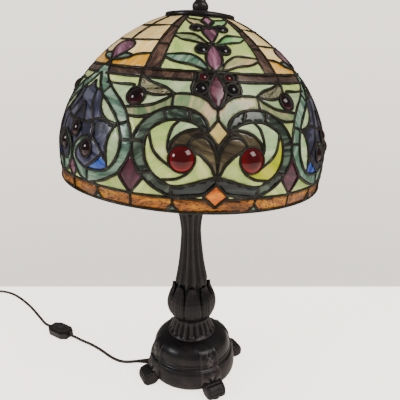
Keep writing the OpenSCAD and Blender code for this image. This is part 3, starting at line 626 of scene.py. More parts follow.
def nearest(points, a, b):
    """For each point, its distance to the nearest of the segments a-b, and where on it that is."""
    best, where = np.full(len(points), 1e9), np.zeros((len(points), 2))
    for start in range(0, len(a), 256):
        pa, ab = a[start:start + 256], (b - a)[start:start + 256]
        rel = points[:, None] - pa[None]
        t = np.clip((rel * ab).sum(-1) / np.maximum((ab ** 2).sum(-1), 1e-12), 0, 1)
        on = pa[None] + t[..., None] * ab[None]
        d = np.linalg.norm(points[:, None] - on, axis=-1)
        k = d.argmin(1)
        closer = d[np.arange(len(points)), k] < best
        best[closer] = d[np.arange(len(points)), k][closer]
        where[closer] = on[np.arange(len(points)), k][closer]
    return best, where


def leading():
    """Every lead line of the half panel as an even run of (u, v) points, its ends carried on to
    whichever line is close by."""
    runs = [along(flat(p), 4, smooth=False) for p in STRAIGHT_LINES]
    runs += [along(flat(p), 4) for p in CURVED_LINES]
    rings = [flat(jewel_outline(j, 0.8)) for j in JEWELS]
    reach = 3.4
    made = []
    for k, run in enumerate(runs):
        others = [r for i, r in enumerate(runs) if i != k]
        a = np.vstack([r[:-1] for r in others] + rings)
        b = np.vstack([r[1:] for r in others] + [np.roll(r, -1, 0) for r in rings])
        gap, spot = nearest(run[[0, -1]], a, b)
        ends = [[], []]
        for e in (0, 1):
            if 0.02 < gap[e] < reach:
                tip = run[[0, -1][e]]
                ends[e] = [tip + (spot[e] - tip) * (1 + 0.25 / gap[e])]
        made.append(np.vstack([*ends[0], run, *ends[1]]))
    cut = []
    for run in made:
        run = run.copy()
        run[:, 0] = np.clip(run[:, 0], 0, HALF_PANEL * MM_PER_DEG)
        run[:, 1] = np.clip(run[:, 1], RIM_V, DOME_V)
        cut.append(run)
    return cut, rings


LEAD_RUNS, LEAD_RINGS = leading()


def cut_panes():
    """Cuts the half panel along its lead lines. Gives flat points, triangles, each triangle's pane
    number, and each point's distance from the nearest lead line."""
    wide = HALF_PANEL * MM_PER_DEG
    xs, ys = np.linspace(0, wide, 41), np.linspace(RIM_V, DOME_V, 76)
    frame_points = np.array([(0, RIM_V), (wide, RIM_V), (wide, DOME_V), (0, DOME_V)])
    points = [frame_points]
    edges = [(0, 1), (1, 2), (2, 3), (3, 0)]
    count = 4
    for run in LEAD_RUNS:
        points.append(run)
        edges += [(count + k, count + k + 1) for k in range(len(run) - 1)]
        count += len(run)
    for ring in LEAD_RINGS:
        inside = ring.copy()
        inside[:, 0] = np.clip(inside[:, 0], 0, wide)
        points.append(inside)
        edges += [(count + k, count + (k + 1) % len(ring)) for k in range(len(ring))]
        count += len(ring)
    a = np.vstack([p[:-1] for p in LEAD_RUNS] + LEAD_RINGS)
    b = np.vstack([p[1:] for p in LEAD_RUNS] + [np.roll(p, -1, 0) for p in LEAD_RINGS])
    gx, gy = np.meshgrid(xs, ys)
    gx[1:-1:2, 1:-1] += (xs[1] - xs[0]) / 2
    fill = np.stack([gx.ravel(), gy.ravel()], -1)
    fill = fill[(fill[:, 0] <= wide) & (nearest(fill, a, b)[0] > 1.7)]
    points.append(fill)
    cloud = [Vector(p) for p in np.vstack(points)]
    at, found, tris, _, came_from, _ = delaunay_2d_cdt(cloud, edges, [], 0, 0.01)
    at = np.array(at)
    lead = {tuple(sorted(e)) for e, src in zip(found, came_from) if any(s >= 4 for s in src)}
    tris = np.array(tris)
    corners = np.concatenate([tris[:, [0, 1]], tris[:, [1, 2]], tris[:, [2, 0]]])
    owner = np.tile(np.arange(len(tris)), 3)
    corners.sort(axis=1)
    is_lead = np.array([tuple(c) in lead for c in corners.tolist()])
    key = corners[:, 0] * len(at) + corners[:, 1]
    order = np.argsort(key, kind="stable")
    same = key[order][:-1] == key[order][1:]
    left, right = owner[order][:-1][same], owner[order][1:][same]
    joined = ~is_lead[order][:-1][same]
    left, right = left[joined], right[joined]
    pane = np.arange(len(tris))
    while True:
        low = np.minimum(pane[left], pane[right])
        fresh = pane.copy()
        np.minimum.at(fresh, left, low)
        np.minimum.at(fresh, right, low)
        if (fresh == pane).all():
            break
        pane = fresh
    pane = np.unique(pane, return_inverse=True)[1]
    return at, tris, pane, nearest(at, a, b)[0]


PANE_POINTS, PANE_TRIS, PANE_OF, LEAD_GAP = cut_panes()


def panes_hit(spots):
    """The number of the pane under each point (u, v)."""
    corner = PANE_POINTS[PANE_TRIS]
    a, b, c = corner[:, 0], corner[:, 1], corner[:, 2]
    det = np.cross(b - a, c - a)
    det = np.where(np.abs(det) < 1e-12, 1e-12, det)
    found = []
    for spot in flat(spots):
        s, t = np.cross(spot - a, c - a) / det, np.cross(b - a, spot - a) / det
        inside = (s >= -1e-9) & (t >= -1e-9) & (s + t <= 1 + 1e-9)
        found.append(int(PANE_OF[inside.argmax()]) if inside.any() else -1)
    return found


def sort_panes():
    """For each pane: its glass in the plain and the mirrored half, its area, whether it crosses a
    centre line, and whether it lies under a jewel."""
    corner = PANE_POINTS[PANE_TRIS]
    size = np.abs(np.cross(corner[:, 1] - corner[:, 0], corner[:, 2] - corner[:, 0])) / 2
    total = np.bincount(PANE_OF, size)
    mid = np.stack([np.bincount(PANE_OF, size * corner[:, :, k].mean(1)) for k in (0, 1)], -1)
    mid /= np.maximum(total, 1e-9)[:, None]
    seeds = [(spot, kind) for kind, spots in PANES.items() for spot in spots]
    hit = panes_hit([spot for spot, _ in seeds])
    plain = {k: kind for k, (_, kind) in zip(hit, seeds)}
    changed = [(spot, kind) for kind, spots in MIRRORED_PANES.items() for spot in spots]
    mirrored = dict(zip(panes_hit([spot for spot, _ in changed]), [kind for _, kind in changed]))
    places = flat([spot for spot, _ in seeds])
    under = set()
    for jewel, ring in zip(JEWELS, LEAD_RINGS):
        k = panes_hit([jewel[:2] if jewel[0] < HALF_PANEL else (HALF_PANEL - 0.4, jewel[1])])[0]
        seat = np.abs(np.cross(ring, np.roll(ring, -1, 0)).sum()) / 2
        if total[k] < 1.1 * seat:
            under.add(k)
    rows = []
    for k in range(len(total)):
        x = PANE_POINTS[PANE_TRIS[PANE_OF == k]][..., 0]
        wide = HALF_PANEL * MM_PER_DEG
        kind = plain.get(k)
        if kind is None:
            closest = int(np.argmin(np.linalg.norm(places - mid[k], axis=1)))
            kind = "solder" if total[k] < 40 else seeds[closest][1]
        rows.append({"glass": kind, "mirrored": mirrored.get(k, kind), "mid": mid[k], "area": total[k],
                     "under": k in under, "crosses": (x.min() < ON_SEAM, x.max() > wide - ON_SEAM)})
    return rows


PANE_ROWS = sort_panes()


# ---------------------------------------------------------------- glass of the shade
REGIONS = {
    "border_tiles": ["border_tiles"], "border_diamonds": ["border_diamonds"],
    "lower_panels": ["jewel_panels", "wing_panels"], "belt": ["belt_panels"],
    "upper_leaf_panels": ["upper_leaf_panels"], "upper_plain_panels": ["upper_plain_panels"],
    "straps": ["strap_panels"],
}


def region_of(pane):
    """The part of the shade a pane belongs to, by its middle."""
    u, v = pane["mid"] / [MM_PER_DEG, 1]
    if pane["glass"] == "orange":
        return "border_diamonds"
    if v < BORDER_V:
        return "border_tiles"
    if v < BELT_V0:
        return "lower_panels"
    if v < BELT_V1:
        return "belt"
    if STRAP_U0 < u < STRAP_U1:
        return "straps"
    return "upper_leaf_panels" if u < STRAP_U0 else "upper_plain_panels"


def pane_surfaces():
    """The half panel's glass as points on the dome: outside and inside faces. Each pane lies a
    little flatter than the dome, swells slightly between its leads and thins out under them."""
    u, v = PANE_POINTS[:, 0] / MM_PER_DEG, PANE_POINTS[:, 1]
    swell = 0.5 * MM * (1 - np.exp(-LEAD_GAP / 3)) - 0.3 * MM
    outer, inner = dome_point(u, v, swell), dome_point(u, v, -GLASS_T)
    flatten = 0.5
    made = {}
    far = turn_z(math.radians(HALF_PANEL))
    flip = np.array([1, -1, 1])
    for k, pane in enumerate(PANE_ROWS):
        own = np.unique(PANE_TRIS[PANE_OF == k])
        p = outer[own]
        around = [p]
        if pane["crosses"][0]:
            around.append(p * flip)
        if pane["crosses"][1]:
            around.append((p @ far * flip) @ far.T)
        around = np.vstack(around)
        middle = around.mean(0)
        normal = np.linalg.svd(around - middle, full_matrices=False)[2][2]
        # Close to its leads a pane stays where they can hold it
        slack = (0.6 + 0.4 * np.clip(LEAD_GAP[own], 0, 4)) * MM
        lift = np.clip((middle - p) @ normal * flatten, -slack, slack)[:, None] * normal
        if pane["area"] > 60:
            made[k] = (own, p + lift, inner[own] + lift)
        else:
            made[k] = (own, p, inner[own])
    return made


def build_glass():
    """Every pane of the shade as a closed sheet of its own glass, gathered by part of the shade."""
    sheets = pane_surfaces()
    kinds = sorted({p["glass"] for p in PANE_ROWS} | {p["mirrored"] for p in PANE_ROWS})
    looks = [GLASS.get(kind, SOLDER) for kind in kinds]
    wide = HALF_PANEL * MM_PER_DEG
    for region, nodes in REGIONS.items():
        pile, look, grain, tone, key = Pile(), [], [], [], []
        for k, pane in enumerate(PANE_ROWS):
            if pane["under"] or region_of(pane) != region:
                continue
            own, outer, inner = sheets[k]
            place = np.zeros(len(PANE_POINTS), int)
            place[own] = np.arange(len(own))
            tri = place[PANE_TRIS[PANE_OF == k]]
            edge = np.concatenate([tri[:, [0, 1]], tri[:, [1, 2]], tri[:, [2, 0]]])
            code = np.sort(edge, 1) @ [len(own), 1]
            once = np.isin(code, np.unique(code)[np.unique(code, return_counts=True)[1] == 1])
            edge = edge[once]
            x = PANE_POINTS[own][:, 0]
            seam = ((x[edge] < ON_SEAM).all(1) & pane["crosses"][0]
                    & (pane["glass"] != "amber")) | ((x[edge] > wide - ON_SEAM).all(1))
            is_lead = (np.minimum(*LEAD_GAP[own][edge].T) < 0.02) & (LEAD_GAP[own][edge].mean(1) < 0.02)
            edge = edge[~seam | is_lead]
            n = len(own)
            walls = np.stack([edge[:, 0], edge[:, 1], edge[:, 1] + n, edge[:, 0] + n], 1)
            for copy, (turn, mirror) in enumerate(HALF_PANELS):
                panel = copy // 2
                if pane["crosses"][0]:
                    label = k * LABELS_PER_PANE + panel
                elif pane["crosses"][1]:
                    label = k * LABELS_PER_PANE + (panel if not mirror else (panel - 1) % 3) + 3
                else:
                    label = k * LABELS_PER_PANE + copy + 0.5
                chance = np.random.default_rng(int(label * 2))
                angle, spread = chance.uniform(0, np.pi), chance.uniform(0, 1)
                points = on_shade(np.vstack([outer, inner]), turn, mirror)
                pile.add(points, tri.tolist() + (tri + n).tolist() + walls.tolist())
                kind = pane["mirrored"] if mirror else pane["glass"]
                look += [kinds.index(kind)] * (2 * len(tri) + len(walls))
                flat_at = PANE_POINTS[own] * [-1 if mirror else 1, 1] * MM
                if pane["crosses"][1]:
                    flat_at = flat_at - [0 if mirror else wide * MM, 0]
                    flat_at = flat_at + [wide * MM if mirror else 0, 0]
                c, s = math.cos(angle), math.sin(angle)
                run = np.stack([flat_at @ [c, s], flat_at @ [-s, c], np.full(n, label * 3.7)], -1)
                grain.append(np.vstack([run, run]))
                tone.append(np.full(2 * n, spread))
                key.append(np.full(2 * n, label))
        points, faces = pile.all()
        labels = np.concatenate(key)
        same = np.column_stack([labels, np.round(points * 1e6)])
        _, first, back = np.unique(same, axis=0, return_index=True, return_inverse=True)
        back = back.ravel()
        faces = [[int(back[i]) for i in f] for f in faces]
        mesh_piece(
            region + "_glass", points[first], faces, None, "shade", nodes,
            materials=looks, face_material=look,
            attributes={"grain": ("FLOAT_VECTOR", np.vstack(grain)[first]),
                        "tone": ("FLOAT", np.concatenate(tone)[first])})


build_glass()


# ---------------------------------------------------------------- leading
def build_leads():
    """Rounded solder beads along every lead line, outside and inside, and rings round the jewels."""
    outside, inside = Pile(), Pile()
    for index, run in enumerate(LEAD_RUNS):
        u, v = run[:, 0] / MM_PER_DEG, run[:, 1]
        on_seam = u.max() < ON_SEAM or u.min() > HALF_PANEL - ON_SEAM
        chance = np.random.default_rng(index)
        sway = 1 + 0.1 * np.sin(np.arange(len(u)) * chance.uniform(0.7, 1.3) + chance.uniform(0, 6))
        normals = dome_normal(u, v)
        wide = np.where(v > BELT_V1, LEAD_HALF_ABOVE, LEAD_HALF_BELOW) * MM * sway
        for pile, out, high, sides in ((outside, 0.1 * MM, 1.25 * MM, 8),
                                       (inside, -GLASS_T - 0.1 * MM, 0.9 * MM, 6)):
            points, faces = tube(dome_point(u, v, out), wide, high * sway, normals, sides)
            for turn, mirror in HALF_PANELS:
                if not (on_seam and mirror):
                    pile.add(on_shade(points, turn, mirror), faces)
    for jewel in JEWELS:
        ring = jewel_outline(jewel, 0.9, 28)
        normals = dome_normal(ring[:, 0], ring[:, 1])
        for pile, out, high, sides in ((outside, 0.4 * MM, 1.7 * MM, 8),
                                       (inside, -GLASS_T, 1.1 * MM, 6)):
            points, faces = tube(dome_point(ring[:, 0], ring[:, 1], out), 1.6 * MM, high, normals,
                                 sides, closed=True)
            for turn, mirror in HALF_PANELS:
                if not (jewel[0] == HALF_PANEL and mirror):
                    pile.add(on_shade(points, turn, mirror), faces)
    around = np.linspace(0, 360, 240, endpoint=False)
    for pile, v, out, wide, high in ((outside, 2.2, -0.4 * GLASS_T, 2.3, 3.1),
                                     (outside, DOME_V - 1, -0.4 * GLASS_T, 2.0, 2.6)):
        at = np.full(len(around), v)
        points, faces = tube(dome_point(around, at, out), wide * MM, high * MM,
                             dome_normal(around, at), 12, closed=True)
        pile.add(on_shade(points), faces)
    points, faces = outside.all()
    mesh_piece("lead_lines_outside", points, faces, SOLDER, "shade", ["panel_came", "rim_came"])
    points, faces = inside.all()
    mesh_piece("lead_lines_inside", points, faces, SOLDER, "shade", [])


build_leads()


# ---------------------------------------------------------------- jewels
def build_jewels(name, jewels, finish, node):
    """Cabochons: a spherical dome on a short drum with a flat back, set square to the glass."""
    pile, depth = Pile(), []
    for jewel in jewels:
        u, v, r = jewel
        r = r * MM
        rise = 0.45 * r
        ball = (r * r + rise * rise) / (2 * rise)
        rho = np.concatenate([np.sin(np.linspace(0.04, 1, 10) * np.pi / 2), [1.0, 0.9, 0.04]]) * r
        height = np.sqrt(ball ** 2 - rho ** 2) - (ball - rise)
        height[-3:] = [-GLASS_T * 0.8, -GLASS_T, -GLASS_T]
        a = np.linspace(0, 2 * np.pi, 32, endpoint=False)
        centre, normal = dome_point(u, v), dome_normal(u, v)
        side = np.cross([0, 0, 1.0], normal)
        side /= np.linalg.norm(side)
        up = np.cross(normal, side)
        rings = (centre + rho[:, None, None] * (np.cos(a)[None, :, None] * side
                                                + np.sin(a)[None, :, None] * up)
                 + height[:, None, None] * normal)
        faces = grid_faces(len(rho), len(a), wrap_columns=True)
        faces += [list(range(len(a))), list(range((len(rho) - 1) * len(a), len(rho) * len(a)))]
        # The lower edge glows: light that enters above comes out below
        low = 0.62 * (rho / r)[:, None] ** 2 + 0.3 * (rho / r)[:, None] * -np.sin(a)[None, :]
        for turn, mirror in HALF_PANELS:
            if not (u == HALF_PANEL and mirror):
                pile.add(on_shade(rings.reshape(-1, 3), turn, mirror), faces)
                depth.append(np.clip(low, 0, 1).ravel())
    points, faces = pile.all()
    mesh_piece(name, points, faces, finish, "shade", [node],
               attributes={"depth": ("FLOAT", np.concatenate(depth))})


build_jewels("ruby_cabochons", RUBY, RUBY_FINISH, "ruby_jewels")
build_jewels("garnet_cabochons", GARNETS, GARNET_FINISH, "garnet_jewels")
build_jewels("black_cabochons", BLACK_JEWELS, BLACK_FINISH, "black_jewels")
build_jewels("small_red_cabochons", SMALL_RED, SMALL_RED_FINISH, "small_jewels")


# ---------------------------------------------------------------- castings
def smoothed(points, step=0.9):
    """A casting's profile as a smooth curve in even steps, in mm."""
    return along(points, step)


def spun(name, outer, inner, relief, body, nodes, columns=288, tilt=False, dust_and_highlight=None):
    """A turned casting. outer and inner are its profile as (radius, height) in mm, the outer face
    from the bottom up and the bore from the top down. relief(angle, height) in mm is how far each
    point of the outer face stands out: radius = R(height) + relief(angle, height). With no inner
    profile the outer one starts and ends on the axis. The last argument, a function of (angle,
    height), gives where pale dust with a painted highlight lies, and -relief / 2.6 is where painted
    shade with patina darkens the recesses."""
    around = np.arange(columns) / columns * 2 * np.pi
    rows = np.vstack([outer, inner]) if len(inner) else np.asarray(outer, float)[1:-1]
    angle, height = np.meshgrid(around, rows[:, 1])
    radius = np.repeat(rows[:, :1], columns, 1)
    faced = len(outer) if len(inner) else len(rows)
    radius[:faced] += relief(angle[:faced], height[:faced])
    points = np.stack([radius * np.cos(angle), radius * np.sin(angle), height], -1).reshape(-1, 3)
    faces = grid_faces(len(rows), columns, wrap_rows=bool(len(inner)), wrap_columns=True)
    poles = 0 if len(inner) else 2
    if poles:
        low, high = len(points), len(points) + 1
        points = np.vstack([points, [0, 0, outer[0][1]], [0, 0, outer[-1][1]]])
        last = (len(rows) - 1) * columns
        faces += fan(low, 0, columns) + fan(high, last, columns)
    points = points * MM
    pale_dust_and_highlight, shade_and_patina = np.zeros(angle.shape), np.zeros(angle.shape)
    shade_and_patina[:faced] = -relief(angle[:faced], height[:faced]) / SHADE_AND_PATINA_DEPTH_MM
    if dust_and_highlight is not None:
        pale_dust_and_highlight[:faced] = dust_and_highlight(angle[:faced], height[:faced])
    marks = {key: ("FLOAT", np.append(np.clip(at, 0, 0.92).ravel(), np.zeros(poles)))
             for key, at in (("dust_and_highlight", pale_dust_and_highlight), ("shade_and_patina", shade_and_patina))}
    mesh_piece(name, leaned(points) if tilt else points, faces, BRONZE, body, nodes,
               attributes=marks)


def bell(x, width):
    """exp(-(x / width)^2): a smooth ridge of that half width."""
    return np.exp(-(x / width) ** 2)


def step_up(x, low, high):
    """0 below low, 1 above high, and 3t^2 - 2t^3 between."""
    t = np.clip((x - low) / (high - low), 0, 1)
    return t * t * (3 - 2 * t)


def band(x, a, b, c, d):
    """0 below a, 1 from b to c and 0 above d, eased between."""
    return step_up(x, a, b) * step_up(-x, -d, -c)


def groove(angle, count):
    """(1 - cos(count angle)) / 2: count hollows round, from 0 to 1."""
    return 0.5 - 0.5 * np.cos(count * angle)


BORE_R = 5.2
# Relief this far in is painted fully dark: painted shade with patina
SHADE_AND_PATINA_DEPTH_MM = 2.6
FEET = np.radians([45, 135, 225, 315])
STRAP_HALF_DEG = 14.0
FOOT_HALF = 17.0
BASE_TOP = 82.6


def from_foot(angle):
    """Angle in degrees from the nearest foot's direction, between -45 and 45."""
    return (np.degrees(angle)) % 90 - 45


def base_relief(angle, height):
    """Four straps up the dome with raised edges, and the ornament of each."""
    off = from_foot(angle)
    strap = 2.4 * step_up(STRAP_HALF_DEG - np.abs(off), -0.9, 0.9)
    strap += 0.9 * bell(np.abs(off) - 12.2, 0.9)
    return strap * band(height, 19, 24, 74, 80) + ornament(angle, height)


def ornament(angle, height):
    """A shell above each foot, 2.8 bell((rho - 10) / 7.5) cos^2(3.5 phi), a boss on the strap over
    it and a twined sprig up the dome."""
    across = np.radians(from_foot(angle)) * 74
    up = height - 20
    rho, phi = np.hypot(across, up), np.arctan2(across, up)
    shell = 2.8 * bell(rho - 10, 7.5) * np.cos(3.5 * phi) ** 2 * step_up(-rho, -23, -18)
    shell *= step_up(up, -3, 2)
    boss = 1.6 * bell(np.hypot(across, height - 56), 5.5)
    wave = 4.5 * np.sin((height - 44) * 0.32)
    sprig = (bell(across - wave, 1.4) + bell(across + wave, 1.4)) * band(height, 44, 48, 70, 76)
    return shell + boss + sprig


def base_dust_and_highlight(angle, height):
    """Pale dust with a painted highlight on the raised ornament and along the strap edges."""
    edges = 0.2 * bell(np.abs(from_foot(angle)) - 12.2, 1.2) * band(height, 19, 24, 74, 80)
    return 0.42 * ornament(angle, height) + edges


def collar_relief(angle, height):
    """20 pleats: depth 2.7 ((1 - cos 20a) / 2)^0.8, fading out at the rim and the waist."""
    return -2.7 * groove(angle, 20) ** 0.8 * band(height, 86, 90, 105, 114)


def column_relief(angle, height):
    """12 flutes: depth d ((1 - cos 12a) / 2)^0.7, with d 3.4 at the foot, 2.5 at the waist and 2.8 at
    the top."""
    deep = np.interp(height, [184, 276, 310], [3.4, 2.5, 2.8])
    return -deep * groove(angle, 12) ** 0.7 * step_up(-height, -312, -306)


BASE_OUTER = np.vstack([
    smoothed([(73.2, 8.5), (75, 9.6), (76.6, 12.6), (77.6, 17), (77.9, 24), (77.4, 31), (76, 37),
              (74.4, 40.6), (73.6, 42.6), (71, 44.2), (69.3, 46)]),
    smoothed([(69.3, 47), (70.6, 48.6), (70.4, 51), (69, 53), (68.6, 57), (67, 64), (63.4, 71),
              (57.6, 76.8), (50.6, 80.6), (44, 82.2), (38, BASE_TOP)])])
BASE_INNER = along([(BORE_R, BASE_TOP), (BORE_R, 79), (34, 79), (48, 75), (56, 68), (60, 58), (62, 48),
                    (67, 40), (70.6, 32), (71.6, 20), (71.6, 8.5)], 4, smooth=False)
spun("base_body", BASE_OUTER, BASE_INNER, base_relief, "lamp", ["base_casting"], 384, dust_and_highlight=base_dust_and_highlight)

spun("pleated_collar",
     smoothed([(38.5, 82.7), (41, 82.4), (42, 83.6), (41.6, 85.2), (40, 86.4), (38.9, 88.6), (37.4, 92.4),
               (35.6, 97), (33.7, 102), (31.9, 107), (30.3, 111.4), (29.6, 114), (31, 116)], 0.7),
     [(BORE_R, 116), (BORE_R, 82.7)], collar_relief, "lamp", ["skirt_collar"],
     # Pale dust with a painted highlight along the pleat ridges and round the lip
     dust_and_highlight=lambda angle, height: 0.3 * (1 - groove(angle, 20)) ** 2 + 0.3 * bell(height - 84, 1.5))


def leaf_blades():
    """Eight leaves hugging the cup. Along s from 0 to 1 and across t from -1 to 1:
    radius = R(z) - 0.3 + 2.9 (1 - t^2)^0.45 + bell(t / 0.09) + veins, half width = 22.8
    (1 - s^3.8)^0.5 degrees, and the last fifth curls outwards and over."""
    pile, shade_and_patina = Pile(), []
    s = np.linspace(0, 1, 56)[:, None]
    t = np.linspace(-1, 1, 41)[None, :]
    wide = np.radians(22.8) * np.sqrt(1 - s ** 3.8) + 0.004
    curl = np.clip((s - 0.8) / 0.2, 0, 1)
    z = 113 + 71 * s - 4.5 * curl ** 2.2
    lobes = 1 + 0.03 * np.cos(16 * s * np.pi) * step_up(np.abs(t), 0.55, 1)
    cup = np.interp(z, CUP_HEIGHTS, CUP_RADII)
    veins = 0.5 * np.cos(24 * np.abs(t) ** 0.85 + 3 * s) * band(np.abs(t), 0.08, 0.2, 0.8, 0.96)
    swell = -0.3 + 2.9 * np.sqrt(np.clip(1 - t ** 2, 0, 1)) ** 0.9 + 1.0 * bell(t, 0.09) + veins
    reach = cup + 1.8 * curl ** 1.6
    for k in range(8):
        for_leaf = 45.0 * k + 22.5
        angle = np.radians(for_leaf) + wide * t * lobes
        shells = []
        for out in (swell, -1.6 + 0 * swell):
            r = reach + out
            shells.append(np.stack([r * np.cos(angle), r * np.sin(angle),
                                    z + 0 * angle + 0.4 * curl * out], -1).reshape(-1, 3))
        rows, columns = angle.shape
        n = rows * columns
        faces = grid_faces(rows, columns) + grid_faces(rows, columns, start=n)
        edge = ([j for j in range(columns)] + [i * columns + columns - 1 for i in range(1, rows)]
                + [(rows - 1) * columns + j for j in range(columns - 2, -1, -1)]
                + [i * columns for i in range(rows - 2, 0, -1)])
        faces += [[a, b, b + n, a + n] for a, b in zip(edge, edge[1:] + edge[:1])]
        pile.add(np.vstack(shells) * MM, faces)
        # Painted shade with patina along each leaf's edges, where the next leaf meets it, and in the veins
        shade_and_patina.append(np.tile((0.9 * step_up(np.abs(t), 0.8, 1) + 0 * angle).ravel(), 2))
        shade_and_patina[-1] += 0.3 * np.tile((veins < -0.2).ravel(), 2)
    points, faces = pile.all()
    mesh_piece("leaf_blades", points, faces, BRONZE, "lamp", [],
               attributes={"shade_and_patina": ("FLOAT", np.clip(np.concatenate(shade_and_patina), 0, 0.92))})


CUP_HEIGHTS = [108, 114, 118, 125, 134, 143, 152, 160, 170, 178, 184]
CUP_RADII = [28.3, 29, 33, 37.4, 39.8, 40, 38.4, 35.8, 31.2, 28.4, 27.4]
spun("cup_body", smoothed(list(zip(CUP_RADII, CUP_HEIGHTS))), [(BORE_R, 184), (BORE_R, 108)],
     # Set 2.2 mm in all round, so the whole cup is painted dark: painted shade under the leaves, with
     # patina
     lambda angle, height: -2.2 + 0 * angle,
     "lamp", ["leaf_cup"])
leaf_blades()

spun("fluted_shaft",
     smoothed([(25, 170), (27.6, 176), (28.4, 184), (27.6, 190), (25.6, 200), (23.8, 210), (22.2, 220),
               (19.8, 240), (18.2, 258), (17.3, 276), (18.4, 290), (20.4, 303), (22.3, 310), (22.6, 313)]),
     [(BORE_R, 313), (BORE_R, 170)], column_relief, "lamp", ["fluted_column"],
     # Pale dust with a painted highlight along the ridges between the flutes
     dust_and_highlight=lambda angle, height: 0.18 * (1 - groove(angle, 12)) ** 3)


def foot_blocks():
    """Four scrolled feet. Each is a side outline swept 34 mm across: at t from -1 to 1 the outline is
    drawn in to its middle by 1 - 0.3 |t|^9, with shallow toes of 0.3 |cos 2 pi t|^0.6 and seven rolls
    across."""
    outline = along([(68, 20), (76, 24.6), (86, 25.6), (94, 23.4), (98.6, 18.4), (100, 12), (99, 5.6),
                     (95.6, 1.8), (90, 0.9), (82, 0.9), (76, 3.4), (71, 8.6), (68, 14)], 0.9, closed=True)
    middle = np.array([86.0, 12.6])
    t = np.concatenate([[-1.0], -1 + 0.03 * np.arange(1, 6), np.linspace(-0.82, 0.82, 60),
                        1 - 0.03 * np.arange(5, 0, -1), [1.0]])
    draw = 1 - 0.3 * np.abs(t) ** 9
    toes = 0.3 * np.abs(np.cos(2 * np.pi * t)) ** 0.6 - 0.3
    away = outline - middle
    away_unit = away / np.linalg.norm(away, axis=1)[:, None]
    upper = step_up(outline[:, 1], 2.0, 7.0)[None, :, None]
    swept = middle + away[None] * draw[:, None, None] + upper * away_unit[None] * toes[:, None, None]
    # Raised rolls across the top and down the toe
    spin = np.degrees(np.arctan2(away[:, 1], away[:, 0]))
    roll = sum(1.1 * bell(spin - at, 6) for at in (118, 88, 58, 36, 16, -6, -26))
    swept += (roll[:, None] * away_unit)[None] * step_up(1 - np.abs(t), 0.02, 0.12)[:, None, None]
    rows, columns = swept.shape[:2]
    pile = Pile()
    for heading in FEET:
        c, s = math.cos(heading), math.sin(heading)
        x, y, z = swept[..., 0], FOOT_HALF * t[:, None] + 0 * swept[..., 0], swept[..., 1]
        z = np.maximum(z, 0.8)
        points = np.stack([c * x - s * y, s * x + c * y, z], -1).reshape(-1, 3)
        ends = np.array([[c * middle[0] - s * FOOT_HALF * e, s * middle[0] + c * FOOT_HALF * e, middle[1]]
                         for e in (-1, 1)])
        faces = grid_faces(rows, columns, wrap_columns=True)
        n, last = rows * columns, (rows - 1) * columns
        faces += fan(n, 0, columns) + fan(n + 1, last, columns)
        pile.add(np.vstack([points, ends]) * MM, faces)
    points, faces = pile.all()
    mesh_piece("scroll_feet", points, faces, BRONZE, "lamp", [])


foot_blocks()

CAP_Z = (GLASS_TOP + 0.0012) / MM
CAP_TOP = CAP_Z + 9.8
CAP_R = 49.97
spun("vase_cap_disc",
     smoothed([(12, CAP_Z + 4.5), (24, CAP_Z + 3.4), (CAP_R - 12, CAP_Z + 1.4), (CAP_R - 4, CAP_Z),
               (CAP_R - 1, CAP_Z - 0.4), (CAP_R + 0.4, CAP_Z + 0.4), (CAP_R + 0.8, CAP_Z + 2),
               (CAP_R, CAP_Z + 4.4), (CAP_R - 2.4, CAP_Z + 5.4), (CAP_R - 4.2, CAP_Z + 5.2),
               (CAP_R - 6, CAP_Z + 6), (CAP_R - 18, CAP_Z + 7.8), (24, CAP_Z + 8.6), (16, CAP_Z + 9),
               (14.4, CAP_TOP)], 0.8),
     [(5.0, CAP_TOP), (5.0, CAP_Z - 1.2), (10, CAP_Z - 1.2)],
     lambda angle, height: 0.25 * np.sin(5 * angle + 1) * bell(height - CAP_Z - 2.5, 2.5),
     "shade", ["vase_cap"], 240, tilt=True)

FINIAL_Z = CAP_TOP + 0.05
FINIAL_LOWER = along([(4.95, 18), (4.95, 0), (10.8, 0)], 2, smooth=False)
FINIAL_UPPER = smoothed([(11.6, 1.6), (12.2, 4.6), (11.8, 7.6), (10.4, 10.2), (8.6, 12.2), (7.7, 13.8),
                         (7.9, 15.2), (9, 16.8), (10.2, 19.6), (10.8, 23.4), (10.6, 27.4), (9.2, 31.4),
                         (7, 35.2), (4.4, 38.4), (3.2, 40.6), (2.8, 42), (3.6, 43.6), (3.6, 45.4),
                         (2.5, 47.2), (0.6, 47.9)], 0.7)


def finial_relief(angle, height):
    """12 shallow hollows round the bulb, 0.5 deep, and round the urn above it, 0.4 deep."""
    up = height - FINIAL_Z
    bulb = 0.5 * bell(up - 5, 4) * step_up(up, 0.2, 1.5)
    urn = 0.4 * bell(up - 27, 7) * step_up(up, 18.5, 20)
    return -groove(angle, 12) * (bulb + urn)


spun("finial_knob", np.vstack([[(0, 18)], FINIAL_LOWER, FINIAL_UPPER, [(0, 48)]]) + [0, FINIAL_Z],
     [], finial_relief, "finial", ["finial"], 192, tilt=True)


